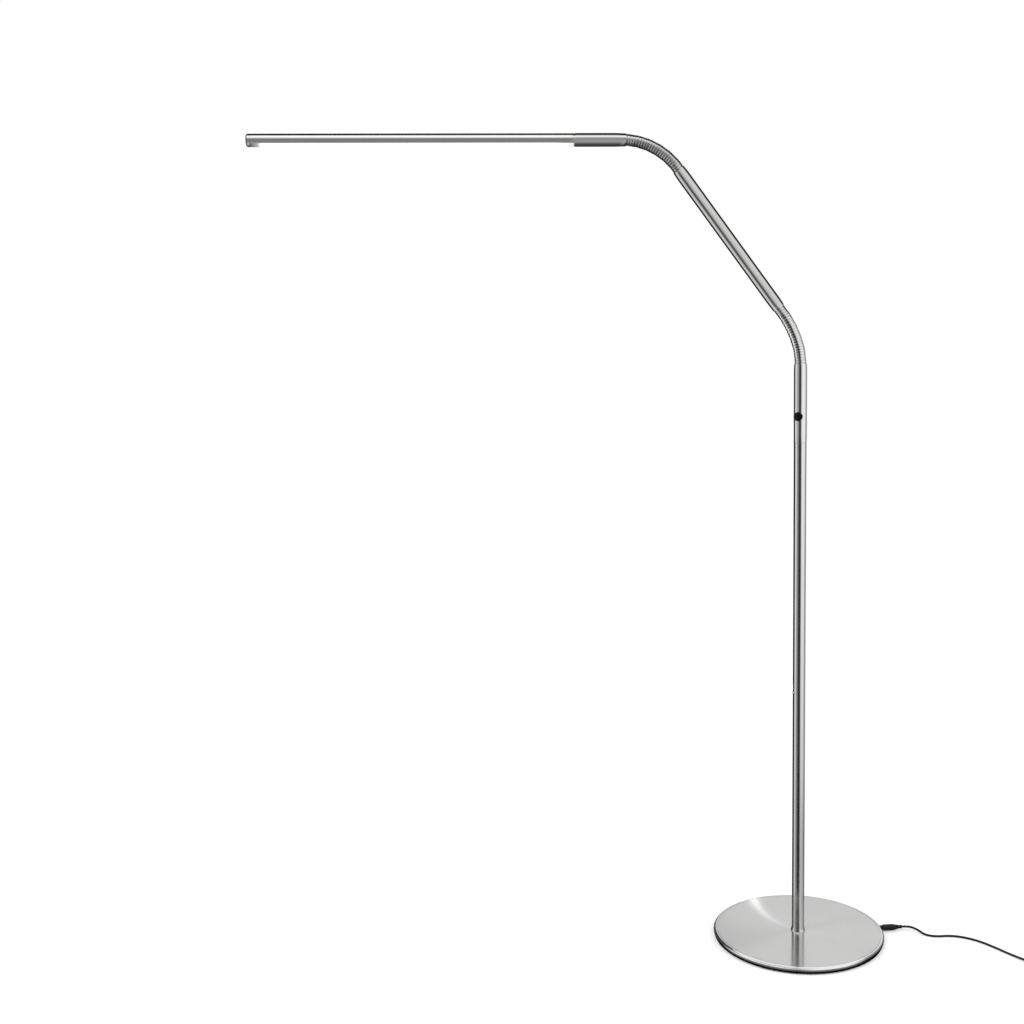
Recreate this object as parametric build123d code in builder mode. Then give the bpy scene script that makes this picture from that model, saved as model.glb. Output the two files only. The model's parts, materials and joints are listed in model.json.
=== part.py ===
from build123d import *
from math import acos, asin, cos, degrees, dist, pi, radians, sin, sqrt, tan
import os

# Gooseneck reading floor lamp. Millimetres, +Z up. The origin is the centre of the
# base's underside, on the floor. The necks, the arm and the head lie in the XZ plane
# and reach toward -X; the push button looks toward -Y.

# --- Base -----------------------------------------------------------------------------
base_radius = 130.0
base_height = 11.0
pad_thickness = 1.5
pad_inset = 2.5           # how far the soft pad stays inside the rim
cover_wall = 1.0
cover_edge_radius = 3.5   # rounded upper edge of the steel cover
weight_clearance = 0.2
weight_web = 2.2          # cast iron left above the clamp nut's recess
recess_radius = 15.0
groove_width = 4.0        # groove under the weight that carries the lead
groove_depth = 3.0

# --- Pole and its clamp ---------------------------------------------------------------
pole_radius = 9.5
pole_wall = 1.2
pole_seam_height = 771.8  # where the upper tube meets the lower pole
upper_tube_radius = 9.7
upper_tube_length = 116.7
mouth_taper_length = 8.0
mouth_taper = 0.6         # how much the radius shrinks at a tube's mouth
foot_height = 9.0
foot_flare = 1.7          # how far the foot spreads beyond the pole
foot_spigot_length = 25.0
coupler_length = 55.0
coupler_wall = 1.8
slip_fit = 0.05           # radial clearance of a plug in its tube
nipple_radius = 5.0
nipple_bore_radius = 3.2
nut_flats = 14.0
nut_height = 3.0
washer_radius = 11.0
washer_height = 1.0

# --- Push button ----------------------------------------------------------------------
button_rise = 39.2        # centre of the button above the seam between the tubes
button_heading = 237.0    # compass angle of the button's axis, counted from +X
button_radius = 6.6
button_clearance = 0.1
button_proud = 1.0        # cylinder that stands out of the tube
button_dome = 1.3         # extra height of the dome
button_rear = 4.2         # rear face of the button, from the tube's axis
button_travel = 0.8
plunger_gap = 0.1         # left between button and plunger when it is pressed
button_edge = 0.6
carrier_length = 27.0
board_thickness = 1.2
board_width = 11.0
board_length = 22.0
switch_side = 6.0
switch_depth = 3.5
plunger_radius = 1.7
plunger_height = 0.8
pocket_clearance = 0.15

# --- Goosenecks -----------------------------------------------------------------------
rib_pitch = 3.95
ribs_per_link = 2
links_per_neck = 11
rib_crest_radius = 8.2
rib_root_radius = 6.6
rib_crest_width = 0.9
rib_root_width = 2.1
ball_radius = 5.9
ball_clearance = 0.05
ball_depth = 3.2          # how far the ball reaches past its centre
neck_bore_radius = 2.6
neck_plug_length = 20.0
# One letter for each of a neck's joints, from the pole outward: B bends in the lamp's
# plane and S sways out of it. The lower neck bends more near the pole.
lower_neck_pattern = "BSBBSBSBSBSS"
upper_neck_pattern = "SBSBSBSBSBSB"
lower_neck_turn = 35.8    # degrees that the lower neck turns away from upright
upper_neck_turn = 52.85   # further degrees that the upper neck turns

# --- Arm and head ---------------------------------------------------------------------
arm_radius = 9.7
arm_wall = 1.2
arm_length = 247.7
arm_taper_length = 12.0
ferrule_length = 75.0
ferrule_taper_length = 15.0
ferrule_edge = 0.5
head_radius = 9.4
head_length = 469.3
head_wall = 1.1
head_opening = 4.6        # the housing ends this far below its centre line
head_web = 1.2            # shelf inside the housing that carries the light strip
joiner_length = 24.0
strip_thickness = 1.0
strip_width = 14.6
strip_end_gap = 14.0      # strip ends this far inside the diffuser's ends
chip_length = 3.5
chip_width = 2.8
chip_height = 0.7
chip_spacing = 12.0
diffuser_wall = 1.2
diffuser_seam = 0.15      # fine gap between the diffuser and the housing's edges
diffuser_rail = 1.2
end_cap_length = 6.0
end_cap_edge = 2.6
end_cap_spigot = 10.0
lead_radius = 0.9
lead_bend = 4.0

# --- Power inlet, plug, cord and adapter ----------------------------------------------
jack_heading = 4.0        # compass angle of the inlet in the base's rim
jack_length = 14.0
jack_width = 10.0
jack_nose_radius = 4.2
jack_bore_radius = 2.75
jack_bore_depth = 9.5
jack_pin_radius = 1.0
plug_barrel_length = 9.0
plug_barrel_wall = 0.6
plug_neck_radius = 3.8
plug_neck_length = 4.0
plug_body_radius = 4.9
plug_body_length = 17.0
plug_tail_radius = 2.5
plug_tail_length = 12.0
plug_ring_radius = 2.9
plug_ring_length = 2.6
cord_radius = 1.7
coil_middle_radius = 21.0
coil_gap = 1.3            # free space between neighbouring turns
coil_half_turns = 10      # half turns of the lower layer, which winds inward
tie_thickness = 0.7
tie_width = 8.0
tie_clearance = 0.3
relief_length = 20.0
relief_radius = 3.0
case_length = 66.0
case_width = 38.0
case_height = 27.0
case_edge = 4.0
case_distance = 34.0      # from the cord's last turn to the adapter's case
prong_width = 6.3
prong_thickness = 1.5
prong_length = 16.0
prong_spacing = 12.7
prong_root = 4.0
prong_inset = 17.0

# The cord's route after it leaves the plug: straight out, down to the floor, along it
# in the loose curve of the real one, and on to the coil, where it rises onto the tie.
cord_start_run = 11.0
coil_lift = tie_thickness + tie_clearance
cord_route = [
    (187.0, 4.0, 4.0),
    (194.5, -11.0, cord_radius),
    (209.0, -18.0, cord_radius),
    (232.0, -16.0, cord_radius),
    (252.0, -23.0, cord_radius),
    (271.0, -38.0, cord_radius),
    (287.0, -60.0, cord_radius),
    (302.0, -84.0, cord_radius),
    (318.0, -107.0, cord_radius + coil_lift),
    (338.0, -134.0, cord_radius + coil_lift),
]

# --- Derived sizes --------------------------------------------------------------------
pole_bore = pole_radius - pole_wall
upper_bore = upper_tube_radius - pole_wall
arm_bore = arm_radius - arm_wall
link_length = rib_pitch * ribs_per_link
groove_half = (rib_pitch - rib_root_width) / 2
crest_edge = (rib_pitch - rib_crest_width) / 2
socket_radius = ball_radius + ball_clearance
mouth_gap = groove_half + slip_fit / 2
neck_mouth_height = pole_seam_height + upper_tube_length
button_height = pole_seam_height + button_rise
weight_top = base_height - cover_wall
recess_top = weight_top - weight_web
jack_height = base_height / 2
coil_pitch = 2 * cord_radius + coil_gap
head_bore = head_radius - head_wall

os.makedirs("parts", exist_ok=True)


def save(piece, name):
    """Label a finished piece and write its STEP file."""
    piece.part.label = name
    export_step(piece.part, f"parts/{name}.step")


def lean_vector(lean):
    """Unit vector in the XZ plane that leans from +Z toward -X."""
    return Vector(-sin(radians(lean)), 0, cos(radians(lean)))


def heading_vector(heading):
    """Level unit vector at a compass angle from +X."""
    return Vector(cos(radians(heading)), sin(radians(heading)), 0)


def section_plane(point, direction):
    """Plane whose X is a radius and whose Y runs along the given direction."""
    side = Vector(0, 1, 0) if abs(direction.Y) < 0.01 else Vector(0, 0, 1)
    return Plane(origin=point, x_dir=side, z_dir=side.cross(direction))


def turned(outline, point, direction):
    """Turn a closed outline of (radius, distance) points about a line."""
    with BuildPart() as piece:
        with BuildSketch(section_plane(point, direction)):
            with BuildLine():
                Polyline(*outline, close=True)
            make_face()
        revolve(axis=Axis(point, direction))
    return piece


def tube_outline(radius, bore, start, end, start_taper=0.0, end_taper=0.0, drop=0.0):
    """Outline of a tube whose outer radius shrinks by drop at its tapered ends."""
    return [
        (bore, start),
        (radius - (drop if start_taper else 0), start),
        *([(radius, start + start_taper)] if start_taper else []),
        *([(radius, end - end_taper)] if end_taper else []),
        (radius - (drop if end_taper else 0), end),
        (bore, end),
    ]


# --- Joint centres of the two goosenecks ----------------------------------------------
def neck_chain(first_joint, lean, pattern, turn):
    """Joint centres of a neck, the lean of what follows each, and the last lean."""
    step = turn / pattern.count("B")
    centres = [first_joint]
    leans = []
    for kind in pattern:
        lean = lean + (step if kind == "B" else 0)
        leans.append(lean)
        if len(leans) < len(pattern):
            centres.append(centres[-1] + lean_vector(lean) * link_length)
    return centres, leans


lower_mouth = Vector(0, 0, neck_mouth_height)
lower_centres, lower_leans = neck_chain(
    lower_mouth + Vector(0, 0, mouth_gap), 0.0, lower_neck_pattern, lower_neck_turn
)
arm_lean = lower_leans[-1]
arm_axis = lean_vector(arm_lean)
arm_start = lower_centres[-1] + arm_axis * mouth_gap
arm_end = arm_start + arm_axis * arm_length
upper_centres, upper_leans = neck_chain(
    arm_end + arm_axis * mouth_gap, arm_lean, upper_neck_pattern, upper_neck_turn
)
head_lean = upper_leans[-1]
head_axis = lean_vector(head_lean)
ferrule_start = upper_centres[-1] + head_axis * mouth_gap
head_start = ferrule_start + head_axis * ferrule_length

jack_axis = heading_vector(jack_heading)
jack_mouth = jack_axis * base_radius + Vector(0, 0, jack_height)
up = Vector(0, 0, 1)
ground = Vector(0, 0, 0)

# --- Base -----------------------------------------------------------------------------
pad_radius = base_radius - pad_inset
with BuildPart() as floor_pad:
    Cylinder(pad_radius, pad_thickness, align=(Align.CENTER, Align.CENTER, Align.MIN))
save(floor_pad, "floor_pad")

jack_hole_plane = Plane(origin=jack_mouth + jack_axis * cover_wall, x_dir=up, z_dir=jack_axis)
with BuildPart() as base_cover:
    with BuildSketch(Plane.XZ):
        with BuildLine():
            Polyline(
                (nipple_radius + slip_fit, base_height),
                (base_radius, base_height),
                (base_radius, pad_thickness),
                (base_radius - cover_wall, pad_thickness),
                (base_radius - cover_wall, weight_top),
                (nipple_radius + slip_fit, weight_top),
                close=True,
            )
        make_face()
    revolve(axis=Axis.Z)
    rim = base_cover.edges().filter_by(GeomType.CIRCLE).group_by(Axis.Z)[-1].sort_by(SortBy.RADIUS)
    fillet(rim[-1], cover_edge_radius)
    with BuildSketch(jack_hole_plane):
        Circle(jack_nose_radius + slip_fit)
    extrude(amount=-3 * cover_wall, mode=Mode.SUBTRACT)
save(base_cover, "base_cover")

weight_radius = base_radius - cover_wall - weight_clearance
pocket_depth = jack_length + 2 * weight_clearance
pocket_plane = Plane(origin=jack_axis * weight_radius, x_dir=jack_axis, z_dir=up)
with BuildPart() as base_weight:
    with BuildSketch(Plane.XY.offset(pad_thickness)):
        Circle(weight_radius)
        Circle(nipple_radius + slip_fit, mode=Mode.SUBTRACT)
    extrude(amount=weight_top - pad_thickness)
    weight_rim = base_weight.edges().filter_by(GeomType.CIRCLE).group_by(Axis.Z)[-1]
    chamfer(weight_rim.sort_by(SortBy.RADIUS)[-1], cover_edge_radius - cover_wall)
    with BuildSketch(Plane.XY.offset(pad_thickness)):
        Circle(recess_radius)
    extrude(amount=recess_top - pad_thickness, mode=Mode.SUBTRACT)
    with BuildSketch(pocket_plane.offset(pad_thickness)):
        Rectangle(2 * pocket_depth, jack_width + 2 * weight_clearance)
    extrude(amount=weight_top - pad_thickness, mode=Mode.SUBTRACT)
    with BuildSketch(Plane(origin=ground, x_dir=jack_axis, z_dir=up).offset(pad_thickness)):
        with Locations((weight_radius / 2, 0)):
            Rectangle(weight_radius, groove_width)
    extrude(amount=groove_depth, mode=Mode.SUBTRACT)
save(base_weight, "base_weight")

# --- Clamp that pulls the pole down onto the base -------------------------------------
nut_top = recess_top - washer_height
nut_bottom = nut_top - nut_height
clamp_washer = turned(
    tube_outline(washer_radius, nipple_radius + slip_fit, nut_top, recess_top), ground, up
)
save(clamp_washer, "clamp_washer")

with BuildPart() as clamp_nut:
    with BuildSketch(Plane.XY.offset(nut_bottom)):
        RegularPolygon(nut_flats / 2, 6, major_radius=False)
        Circle(nipple_radius + slip_fit, mode=Mode.SUBTRACT)
    extrude(amount=nut_height)
    chamfer(clamp_nut.edges().filter_by(GeomType.CIRCLE), 0.3)
save(clamp_nut, "clamp_nut")

foot_top = base_height + foot_height
spigot_top = foot_top + foot_spigot_length
pole_nipple = turned(
    tube_outline(nipple_radius, nipple_bore_radius, nut_bottom, spigot_top), ground, up
)
save(pole_nipple, "pole_nipple")

flare_radius = (foot_height**2 + foot_flare**2) / (2 * foot_flare)
flare_angle = degrees(asin(foot_height / flare_radius))
with BuildPart() as pole_foot:
    with BuildSketch(Plane.XZ):
        with BuildLine():
            flare = CenterArc((pole_radius + flare_radius, foot_top), flare_radius, 180, flare_angle)
            Polyline(
                flare @ 0,
                (pole_bore - slip_fit, foot_top),
                (pole_bore - slip_fit, spigot_top),
                (nipple_radius + slip_fit, spigot_top),
                (nipple_radius + slip_fit, base_height),
                flare @ 1,
            )
        make_face()
    revolve(axis=Axis.Z)
save(pole_foot, "pole_foot")

# --- Pole -----------------------------------------------------------------------------
lower_pole = turned(tube_outline(pole_radius, pole_bore, foot_top, pole_seam_height), ground, up)
save(lower_pole, "lower_pole")

coupler_bore = pole_bore - slip_fit - coupler_wall
coupler_bottom = pole_seam_height - coupler_length * 2 / 3
coupler_top = pole_seam_height + coupler_length / 3
pole_coupler = turned(
    [
        (coupler_bore, coupler_bottom),
        (pole_bore - slip_fit, coupler_bottom),
        (pole_bore - slip_fit, pole_seam_height),
        (upper_bore - slip_fit, pole_seam_height),
        (upper_bore - slip_fit, coupler_top),
        (coupler_bore, coupler_top),
    ],
    ground,
    up,
)
save(pole_coupler, "pole_coupler")

# --- Push button and its switch -------------------------------------------------------
button_axis = heading_vector(button_heading)
button_centre = Vector(0, 0, button_height)
button_plane = Plane(origin=button_centre, x_dir=up, z_dir=button_axis)
switch_back = button_rear - button_travel - plunger_gap - plunger_height - switch_depth
board_back = switch_back - board_thickness

upper_tube_outline = tube_outline(
    upper_tube_radius, upper_bore, pole_seam_height, neck_mouth_height,
    end_taper=mouth_taper_length, drop=mouth_taper,
)
with BuildPart() as upper_tube:
    with BuildSketch(section_plane(ground, up)):
        with BuildLine():
            Polyline(*upper_tube_outline, close=True)
        make_face()
    revolve(axis=Axis.Z)
    with BuildSketch(button_plane):
        Circle(button_radius + button_clearance)
    extrude(amount=2 * upper_tube_radius, mode=Mode.SUBTRACT)
save(upper_tube, "upper_tube")

button_front = upper_tube_radius + button_proud
dome_radius = (button_radius**2 + button_dome**2) / (2 * button_dome)
dome_angle = degrees(asin(button_radius / dome_radius))
with BuildPart() as switch_button:
    with BuildSketch(section_plane(button_centre, button_axis)):
        with BuildLine():
            dome = CenterArc(
                (0, button_front + button_dome - dome_radius), dome_radius, 90 - dome_angle, dome_angle
            )
            Polyline(dome @ 1, (0, button_rear), (button_radius, button_rear), dome @ 0)
        make_face()
    revolve(axis=Axis(button_centre, button_axis))
    rims = switch_button.edges().filter_by(lambda edge: edge.is_closed)
    fillet(rims.sort_by(Axis(button_centre, button_axis))[-1], button_edge)
save(switch_button, "switch_button")

with BuildPart() as switch_carrier:
    with BuildSketch(Plane.XY.offset(button_height - carrier_length / 2)):
        Circle(upper_bore - slip_fit)
    extrude(amount=carrier_length)
    with BuildSketch(button_plane):
        Circle(button_radius + button_clearance)
    extrude(amount=2 * upper_tube_radius, mode=Mode.SUBTRACT)
    with BuildSketch(button_plane.offset(board_back - pocket_clearance)):
        Rectangle(board_length + 2 * pocket_clearance, board_width + 2 * pocket_clearance)
    extrude(amount=button_rear - board_back, mode=Mode.SUBTRACT)
    with BuildSketch(Plane.XY.offset(button_height - carrier_length)):
        Circle(lead_radius + pocket_clearance)
    extrude(amount=carrier_length, mode=Mode.SUBTRACT)
save(switch_carrier, "switch_carrier")

with BuildPart() as switch_board:
    with BuildSketch(button_plane.offset(board_back)):
        Rectangle(board_length, board_width)
    extrude(amount=board_thickness)
save(switch_board, "switch_board")

with BuildPart() as tact_switch:
    with BuildSketch(button_plane.offset(switch_back)):
        Rectangle(switch_side, switch_side)
    extrude(amount=switch_depth)
    with BuildSketch(button_plane.offset(switch_back + switch_depth)):
        Circle(plunger_radius)
    extrude(amount=plunger_height)
save(tact_switch, "tact_switch")

# --- Goosenecks: links with a ball at one end and a cup for the next ball at the other -
ball_low_angle = degrees(asin(ball_depth / ball_radius))
ball_high_angle = degrees(asin(groove_half / ball_radius))
cup_rim_angle = degrees(asin(groove_half / socket_radius))
cup_bore_angle = degrees(acos(neck_bore_radius / socket_radius))


def rib_points(length):
    """Outline of a link's ribs, from its lower shoulder to its upper rim."""
    points = [(rib_root_radius, groove_half)]
    for index in range(ribs_per_link):
        start = index * rib_pitch
        points += [
            (rib_root_radius, start + groove_half),
            (rib_crest_radius, start + crest_edge),
            (rib_crest_radius, start + rib_pitch - crest_edge),
            (rib_root_radius, start + rib_pitch - groove_half),
        ]
    return points[1:]


def neck_link(centre, direction):
    """One rigid length of a gooseneck."""
    with BuildPart() as piece:
        with BuildSketch(section_plane(centre, direction)):
            with BuildLine():
                ball = CenterArc((0, 0), ball_radius, -ball_low_angle, ball_low_angle + ball_high_angle)
                cup = CenterArc(
                    (0, link_length), socket_radius, -cup_rim_angle, cup_rim_angle - cup_bore_angle
                )
                Polyline(ball @ 1, *rib_points(link_length), cup @ 0)
                Polyline(cup @ 1, (neck_bore_radius, -ball_depth), ball @ 0)
            make_face()
        revolve(axis=Axis(centre, direction))
    return piece


def cup_plug(centre, direction, radius):
    """Plug in a tube's mouth, with the cup for a neck's first ball."""
    with BuildPart() as piece:
        with BuildSketch(section_plane(centre, direction)):
            with BuildLine():
                cup = CenterArc((0, 0), socket_radius, -cup_rim_angle, cup_rim_angle - cup_bore_angle)
                Polyline(
                    cup @ 1,
                    (neck_bore_radius, -mouth_gap - neck_plug_length),
                    (radius, -mouth_gap - neck_plug_length),
                    (radius, -groove_half),
                    cup @ 0,
                )
            make_face()
        revolve(axis=Axis(centre, direction))
    return piece


def ball_plug(centre, direction, radius):
    """Plug in a tube's mouth, with a ball that sits in a neck's last cup."""
    with BuildPart() as piece:
        with BuildSketch(section_plane(centre, direction)):
            with BuildLine():
                ball = CenterArc((0, 0), ball_radius, -ball_low_angle, ball_low_angle + ball_high_angle)
                Polyline(
                    ball @ 1,
                    (radius, groove_half),
                    (radius, mouth_gap + neck_plug_length),
                    (neck_bore_radius, mouth_gap + neck_plug_length),
                    (neck_bore_radius, -ball_depth),
                    ball @ 0,
                )
            make_face()
        revolve(axis=Axis(centre, direction))
    return piece


def build_links(neck, centres, leans):
    """Write a neck's links, numbered from the pole outward."""
    for index in range(links_per_neck):
        link = neck_link(centres[index], lean_vector(leans[index]))
        save(link, f"{neck}_neck_link_{index + 1:02d}")


save(cup_plug(lower_centres[0], up, upper_bore - slip_fit), "lower_neck_cup_plug")
build_links("lower", lower_centres, lower_leans)
save(ball_plug(lower_centres[-1], arm_axis, arm_bore - slip_fit), "lower_neck_ball_plug")
save(cup_plug(upper_centres[0], arm_axis, arm_bore - slip_fit), "upper_neck_cup_plug")
build_links("upper", upper_centres, upper_leans)
save(ball_plug(upper_centres[-1], head_axis, arm_bore - slip_fit), "upper_neck_ball_plug")

# --- Arm and ferrule ------------------------------------------------------------------
arm_tube = turned(
    tube_outline(arm_radius, arm_bore, 0, arm_length, arm_taper_length, arm_taper_length, mouth_taper),
    arm_start,
    arm_axis,
)
save(arm_tube, "arm_tube")

ferrule_outline = tube_outline(
    arm_radius, arm_bore, 0, ferrule_length, start_taper=ferrule_taper_length, drop=mouth_taper
)
with BuildPart() as head_ferrule:
    with BuildSketch(section_plane(ferrule_start, head_axis)):
        with BuildLine():
            Polyline(*ferrule_outline, close=True)
        make_face()
    revolve(axis=Axis(ferrule_start, head_axis))
    ends = head_ferrule.edges().filter_by(GeomType.CIRCLE).group_by(Axis(ferrule_start, head_axis))
    fillet(ends[-1].sort_by(SortBy.RADIUS)[-1], ferrule_edge)
save(head_ferrule, "head_ferrule")

# --- Head: all its sections are drawn square to its own axis, with their Y upward ------
housing_length = head_length - end_cap_length
shelf_bottom = -head_web


def head_section(distance):
    """Section plane of the head, this far from its inner end, with Y upward."""
    return Plane(origin=head_start + head_axis * distance, x_dir=(0, -1, 0), z_dir=head_axis)


with BuildPart() as head_housing:
    with BuildSketch(head_section(0)):
        Circle(head_radius)
        Circle(head_bore, mode=Mode.SUBTRACT)
        with Locations((0, shelf_bottom + head_web / 2)):
            Rectangle(2 * head_bore + head_wall, head_web)
        with Locations((0, -head_opening)):
            Rectangle(
                3 * head_radius, 3 * head_radius, align=(Align.CENTER, Align.MAX), mode=Mode.SUBTRACT
            )
    extrude(amount=housing_length)
save(head_housing, "head_housing")

strip_bottom = shelf_bottom - strip_thickness
strip_length = housing_length - 2 * strip_end_gap
with BuildPart() as led_strip:
    with BuildSketch(head_section(strip_end_gap)):
        with Locations((0, strip_bottom + strip_thickness / 2)):
            Rectangle(strip_width, strip_thickness)
    extrude(amount=strip_length)
save(led_strip, "led_strip")

chip_count = int((strip_length - chip_spacing) / chip_spacing)
chip_plane = Plane(
    origin=head_section(strip_end_gap + strip_length / 2).from_local_coords(Vector(0, strip_bottom, 0)),
    x_dir=head_axis,
    z_dir=-head_section(0).y_dir,
)
with BuildPart() as led_chips:
    with BuildSketch(chip_plane):
        with GridLocations(chip_spacing, chip_spacing, chip_count, 1):
            Rectangle(chip_length, chip_width)
    extrude(amount=chip_height)
save(led_chips, "led_chips")

lens_top = -head_opening - diffuser_seam
rail_top = strip_bottom - diffuser_seam
rail_outside = sqrt(head_bore**2 - head_opening**2) - diffuser_seam
with BuildPart() as diffuser:
    with BuildSketch(head_section(diffuser_seam)):
        Circle(head_radius)
        Circle(head_radius - diffuser_wall, mode=Mode.SUBTRACT)
        with Locations((0, lens_top)):
            Rectangle(
                3 * head_radius, 3 * head_radius, align=(Align.CENTER, Align.MIN), mode=Mode.SUBTRACT
            )
        with Locations((-rail_outside + diffuser_rail / 2, 0), (rail_outside - diffuser_rail / 2, 0)):
            with Locations((0, (lens_top - diffuser_wall + rail_top) / 2)):
                Rectangle(diffuser_rail, rail_top - lens_top + diffuser_wall)
    extrude(amount=housing_length - 2 * diffuser_seam)
save(diffuser, "diffuser")

joiner_radius = head_bore - slip_fit
with BuildPart() as head_joiner:
    with BuildSketch(head_section(-joiner_length)):
        Circle(arm_bore - slip_fit)
        Circle(neck_bore_radius, mode=Mode.SUBTRACT)
    extrude(amount=joiner_length)
    with BuildSketch(head_section(0)):
        Circle(joiner_radius)
        with Locations((0, slip_fit)):
            Rectangle(
                3 * head_radius, 3 * head_radius, align=(Align.CENTER, Align.MAX), mode=Mode.SUBTRACT
            )
        Circle(neck_bore_radius, mode=Mode.SUBTRACT)
    extrude(amount=joiner_length)
save(head_joiner, "head_joiner")

with BuildPart() as end_cap:
    with BuildSketch(head_section(housing_length)):
        Circle(head_radius)
    extrude(amount=end_cap_length)
    tip = end_cap.edges().filter_by(GeomType.CIRCLE).sort_by(Axis(head_start, head_axis))
    fillet(tip[-1], end_cap_edge)
    with BuildSketch(head_section(housing_length - end_cap_spigot)):
        Circle(joiner_radius)
        with Locations((0, slip_fit)):
            Rectangle(
                3 * head_radius, 3 * head_radius, align=(Align.CENTER, Align.MAX), mode=Mode.SUBTRACT
            )
    extrude(amount=end_cap_spigot)
save(end_cap, "end_cap")

# --- Leads that stay still inside the pole and inside the head ------------------------
groove_level = pad_thickness + lead_radius + slip_fit
lead_top = button_height - board_length / 4
with BuildPart() as base_lead:
    with BuildLine():
        lead_run = FilletPolyline(
            jack_axis * (base_radius - jack_length - slip_fit) + Vector(0, 0, groove_level),
            Vector(0, 0, groove_level),
            Vector(0, 0, lead_top),
            radius=lead_bend,
        )
    with BuildSketch(Plane(origin=lead_run @ 0, z_dir=lead_run % 0)):
        Circle(lead_radius)
    sweep(path=lead_run)
save(base_lead, "base_lead")

with BuildPart() as head_lead:
    with BuildSketch(head_section(joiner_length + slip_fit)):
        with Locations((0, lead_radius + slip_fit)):
            Circle(lead_radius)
    extrude(amount=housing_length - joiner_length - end_cap_spigot - 2 * slip_fit)
save(head_lead, "head_lead")

# --- Power inlet and plug -------------------------------------------------------------
jack_plane = Plane(origin=jack_mouth, x_dir=up, z_dir=jack_axis)
jack_half_height = min(jack_height - pad_thickness, weight_top - jack_height) - weight_clearance
with BuildPart() as dc_jack:
    with BuildSketch(jack_plane.offset(-jack_length)):
        Rectangle(2 * jack_half_height, jack_width)
    extrude(amount=jack_length - cover_wall - weight_clearance)
    with BuildSketch(jack_plane.offset(-jack_length)):
        Circle(min(jack_nose_radius, jack_half_height))
    extrude(amount=jack_length)
    with BuildSketch(jack_plane.offset(-jack_bore_depth)):
        Circle(jack_bore_radius)
        Circle(jack_pin_radius, mode=Mode.SUBTRACT)
    extrude(amount=jack_bore_depth, mode=Mode.SUBTRACT)
save(dc_jack, "dc_jack")

barrel_radius = jack_bore_radius - slip_fit
dc_plug_barrel = turned(
    tube_outline(barrel_radius, barrel_radius - plug_barrel_wall, -plug_barrel_length, slip_fit),
    jack_mouth,
    jack_axis,
)
save(dc_plug_barrel, "dc_plug_barrel")

plug_taper = plug_neck_length / 2
plug_body_end = plug_neck_length + plug_body_length
plug_tail_end = plug_body_end + plug_tail_length
plug_end = plug_tail_end + plug_ring_length
dc_plug = turned(
    [
        (0, slip_fit),
        (plug_neck_radius, slip_fit),
        (plug_neck_radius, plug_neck_length),
        (plug_body_radius, plug_neck_length + plug_taper),
        (plug_body_radius, plug_body_end),
        (plug_tail_radius, plug_tail_end),
        (plug_ring_radius, plug_tail_end + plug_ring_length / 3),
        (plug_ring_radius, plug_end - plug_ring_length / 3),
        (cord_radius + slip_fit, plug_end),
        (0, plug_end),
    ],
    jack_mouth,
    jack_axis,
)
save(dc_plug, "dc_plug")

# --- Cord: the free stretch -----------------------------------------------------------
cord_start = jack_mouth + jack_axis * plug_end
cord_points = [cord_start, cord_start + jack_axis * cord_start_run]
cord_points += [Vector(*point) for point in cord_route]
cord_radii = []
for before, point, after in zip(cord_points, cord_points[1:], cord_points[2:]):
    run = min((point - before).length, (after - point).length)
    half_turn = radians((point - before).get_angle(after - point)) / 2
    cord_radii.append(0.45 * run / tan(half_turn))
print("cord radii", [round(radius, 1) for radius in cord_radii])

with BuildPart() as power_cord:
    with BuildLine() as cord_path:
        FilletPolyline(*cord_points, radius=cord_radii)
    cord_run = cord_path.wire()
    with BuildSketch(Plane(origin=cord_run @ 0, z_dir=cord_run % 0)):
        Circle(cord_radius)
    sweep(path=cord_run)
cord_share = power_cord.part.volume / (cord_run.length * pi * cord_radius**2)
print("cord length", round(cord_run.length, 1), "volume by section times length", round(cord_share, 4))
save(power_cord, "power_cord")

# --- Cord: the coil, two flat layers, wound inward below and outward on top -----------
coil_entry = cord_points[-1]
coil_heading = (cord_points[-1] - cord_points[-2]).normalized()
coil_outward = Vector(coil_heading.Y, -coil_heading.X, 0)
coil_outer = coil_middle_radius + coil_half_turns * coil_pitch / 4
coil_straight = 2 * cord_radius
coil_centre = coil_entry + coil_heading * coil_straight - coil_outward * coil_outer


def coil_point(outward, onward, height):
    """Point of the coil, from its centre on its lower layer."""
    return coil_centre + coil_outward * outward + coil_heading * onward + up * height


def coil_reach(index):
    """Distance from the centre at the start of a half turn, in and then out again."""
    inward = min(index, coil_half_turns)
    outward = max(index - coil_half_turns - 1, 0)
    return coil_outer - (inward - outward) * coil_pitch / 2


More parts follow.
